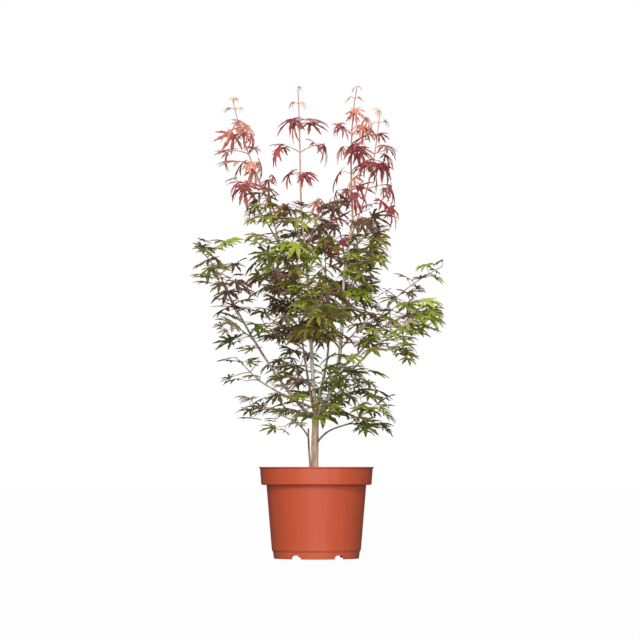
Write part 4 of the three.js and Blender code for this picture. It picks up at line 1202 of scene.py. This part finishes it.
RED_KINDS = ("red", "salmon", "crimson", "pale")
LEAF_TONES = {  # the upper side's two colours, then the underside's
    "deep": ((56, 68, 22), (94, 102, 34), (118, 122, 68)),
    "green": ((104, 122, 32), (154, 158, 52), (150, 154, 84)),
    "bright": ((140, 158, 44), (172, 174, 62), (170, 172, 92)),
    "olive": ((108, 100, 40), (142, 132, 54), (152, 138, 88)),
    "bronze": ((70, 49, 45), (108, 78, 52), (148, 118, 94)),
    "rose": ((168, 148, 128), (134, 122, 88), (188, 166, 146)),
    "red": ((182, 79, 80), (146, 57, 63), (200, 126, 116)),
    "salmon": ((196, 128, 107), (172, 98, 79), (208, 152, 130)),
    "crimson": ((118, 46, 56), (150, 66, 70), (164, 96, 90)),
    "pale": ((204, 188, 152), (190, 154, 126), (216, 196, 164)),
}
print(len(LEAF_TONES), "kinds of leaf")

# %% Join the leaves, one piece for each kind
for kind, (colour, second, below) in LEAF_TONES.items():
    chosen = [leaf for leaf in leaves if leaf["kind"] == kind]
    if not chosen:
        continue
    upper = leaf_finish(kind + "_leaf_top", colour, second, 0.38)
    under = leaf_finish(kind + "_leaf_underside", below, second, 0.6)
    points = [leaf_points(leaf) for leaf in chosen]
    size = len(points[0])
    starts = range(0, size * len(chosen), size)
    both = LEAF_TOP + LEAF_UNDER
    faces = [tuple(corner + start for corner in face) for start in starts for face in both]
    kinds = np.tile([0] * len(LEAF_TOP) + [1] * len(LEAF_UNDER), len(chosen))
    points = np.vstack(points) * MM
    finishes = dict(kinds=kinds, edge_angle=62)
    piece = mesh_piece(kind + "_leaves", points, faces, upper, under, **finishes)
    tint = "red" if kind in RED_KINDS else "bronze" if kind == "bronze" else "green"
    settle(piece, slot="leaves_" + tint)
    print(kind, len(chosen), "leaves")

# %% Finishes of shoots and stalks
def shoot_finish(name, colour, second):
    """A twig's or stalk's finish: two plain colours in streaks along it."""
    finish = Finish(name, IOR=1.45, Specular_IOR_Level=0.35)
    streak = finish.noise(300, 3, (1, 1, 0.3))
    finish.set(Base_Color=finish.pattern(streak, 0.4, 0.62, linear(*colour), linear(*second)))
    finish.set(Roughness=0.6 + 0.15 * streak)
    return finish.bump(streak, 0.3, 0.0002)


SHOOTS = {
    "grey_shoots": shoot_finish("grey_shoot", (170, 140, 124), (138, 110, 100)),
    "red_shoots": shoot_finish("red_shoot", (172, 116, 106), (192, 146, 126)),
    "green_stalks": shoot_finish("green_stalk", (150, 128, 80), (176, 110, 90)),
    "red_stalks": shoot_finish("red_stalk", (182, 98, 88), (166, 74, 72)),
}
print(len(SHOOTS), "finishes")

# %% Join the shoots and stalks
def joined(name, tubes, finish, slot):
    """Many tubes as one piece."""
    vertices, faces, start = [], [], 0
    for points, radii, sides in tubes:
        some, its_faces = swept(points, radii, sides)
        vertices.append(some)
        faces += [tuple(corner + start for corner in face) for face in its_faces]
        start += len(some)
    settle(mesh_piece(name, np.vstack(vertices) * MM, faces, finish), slot=slot)


def stalk_tube(leaf):
    start, end = leaf["node"], leaf["base"]
    bend = (start + end) / 2 + UP * 0.1 * np.linalg.norm(end - start)
    t = np.linspace(0, 1, 7)[:, None]
    points = arc_point(t, start, bend, end + leaf["forward"] * 0.6)
    return points, np.linspace(0.55, 0.38, 7), 5


def shoot_tube(shoot, sides):
    share = np.linspace(0, 1, len(shoot["points"]))
    return shoot["points"], np.interp(share, (0, 1), shoot["radii"]), sides


for red, name in ((False, "grey_shoots"), (True, "red_shoots")):
    tubes = [shoot_tube(stem, 10) for stem in stems if stem["red"] == red]
    tubes += [shoot_tube(twig, 7) for twig in twigs if twig["red"] == red]
    joined(name, tubes, SHOOTS[name], "bark")
for red, name in ((False, "green_stalks"), (True, "red_stalks")):
    tubes = [stalk_tube(leaf) for leaf in leaves if (leaf["kind"] in RED_KINDS) == red]
    joined(name, tubes, SHOOTS[name], "leaves_red" if red else "leaves_green")
for mass in MASSES:
    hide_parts("foliage_" + mass["name"])
print(len(stems), "stems and", len(twigs), "twigs")
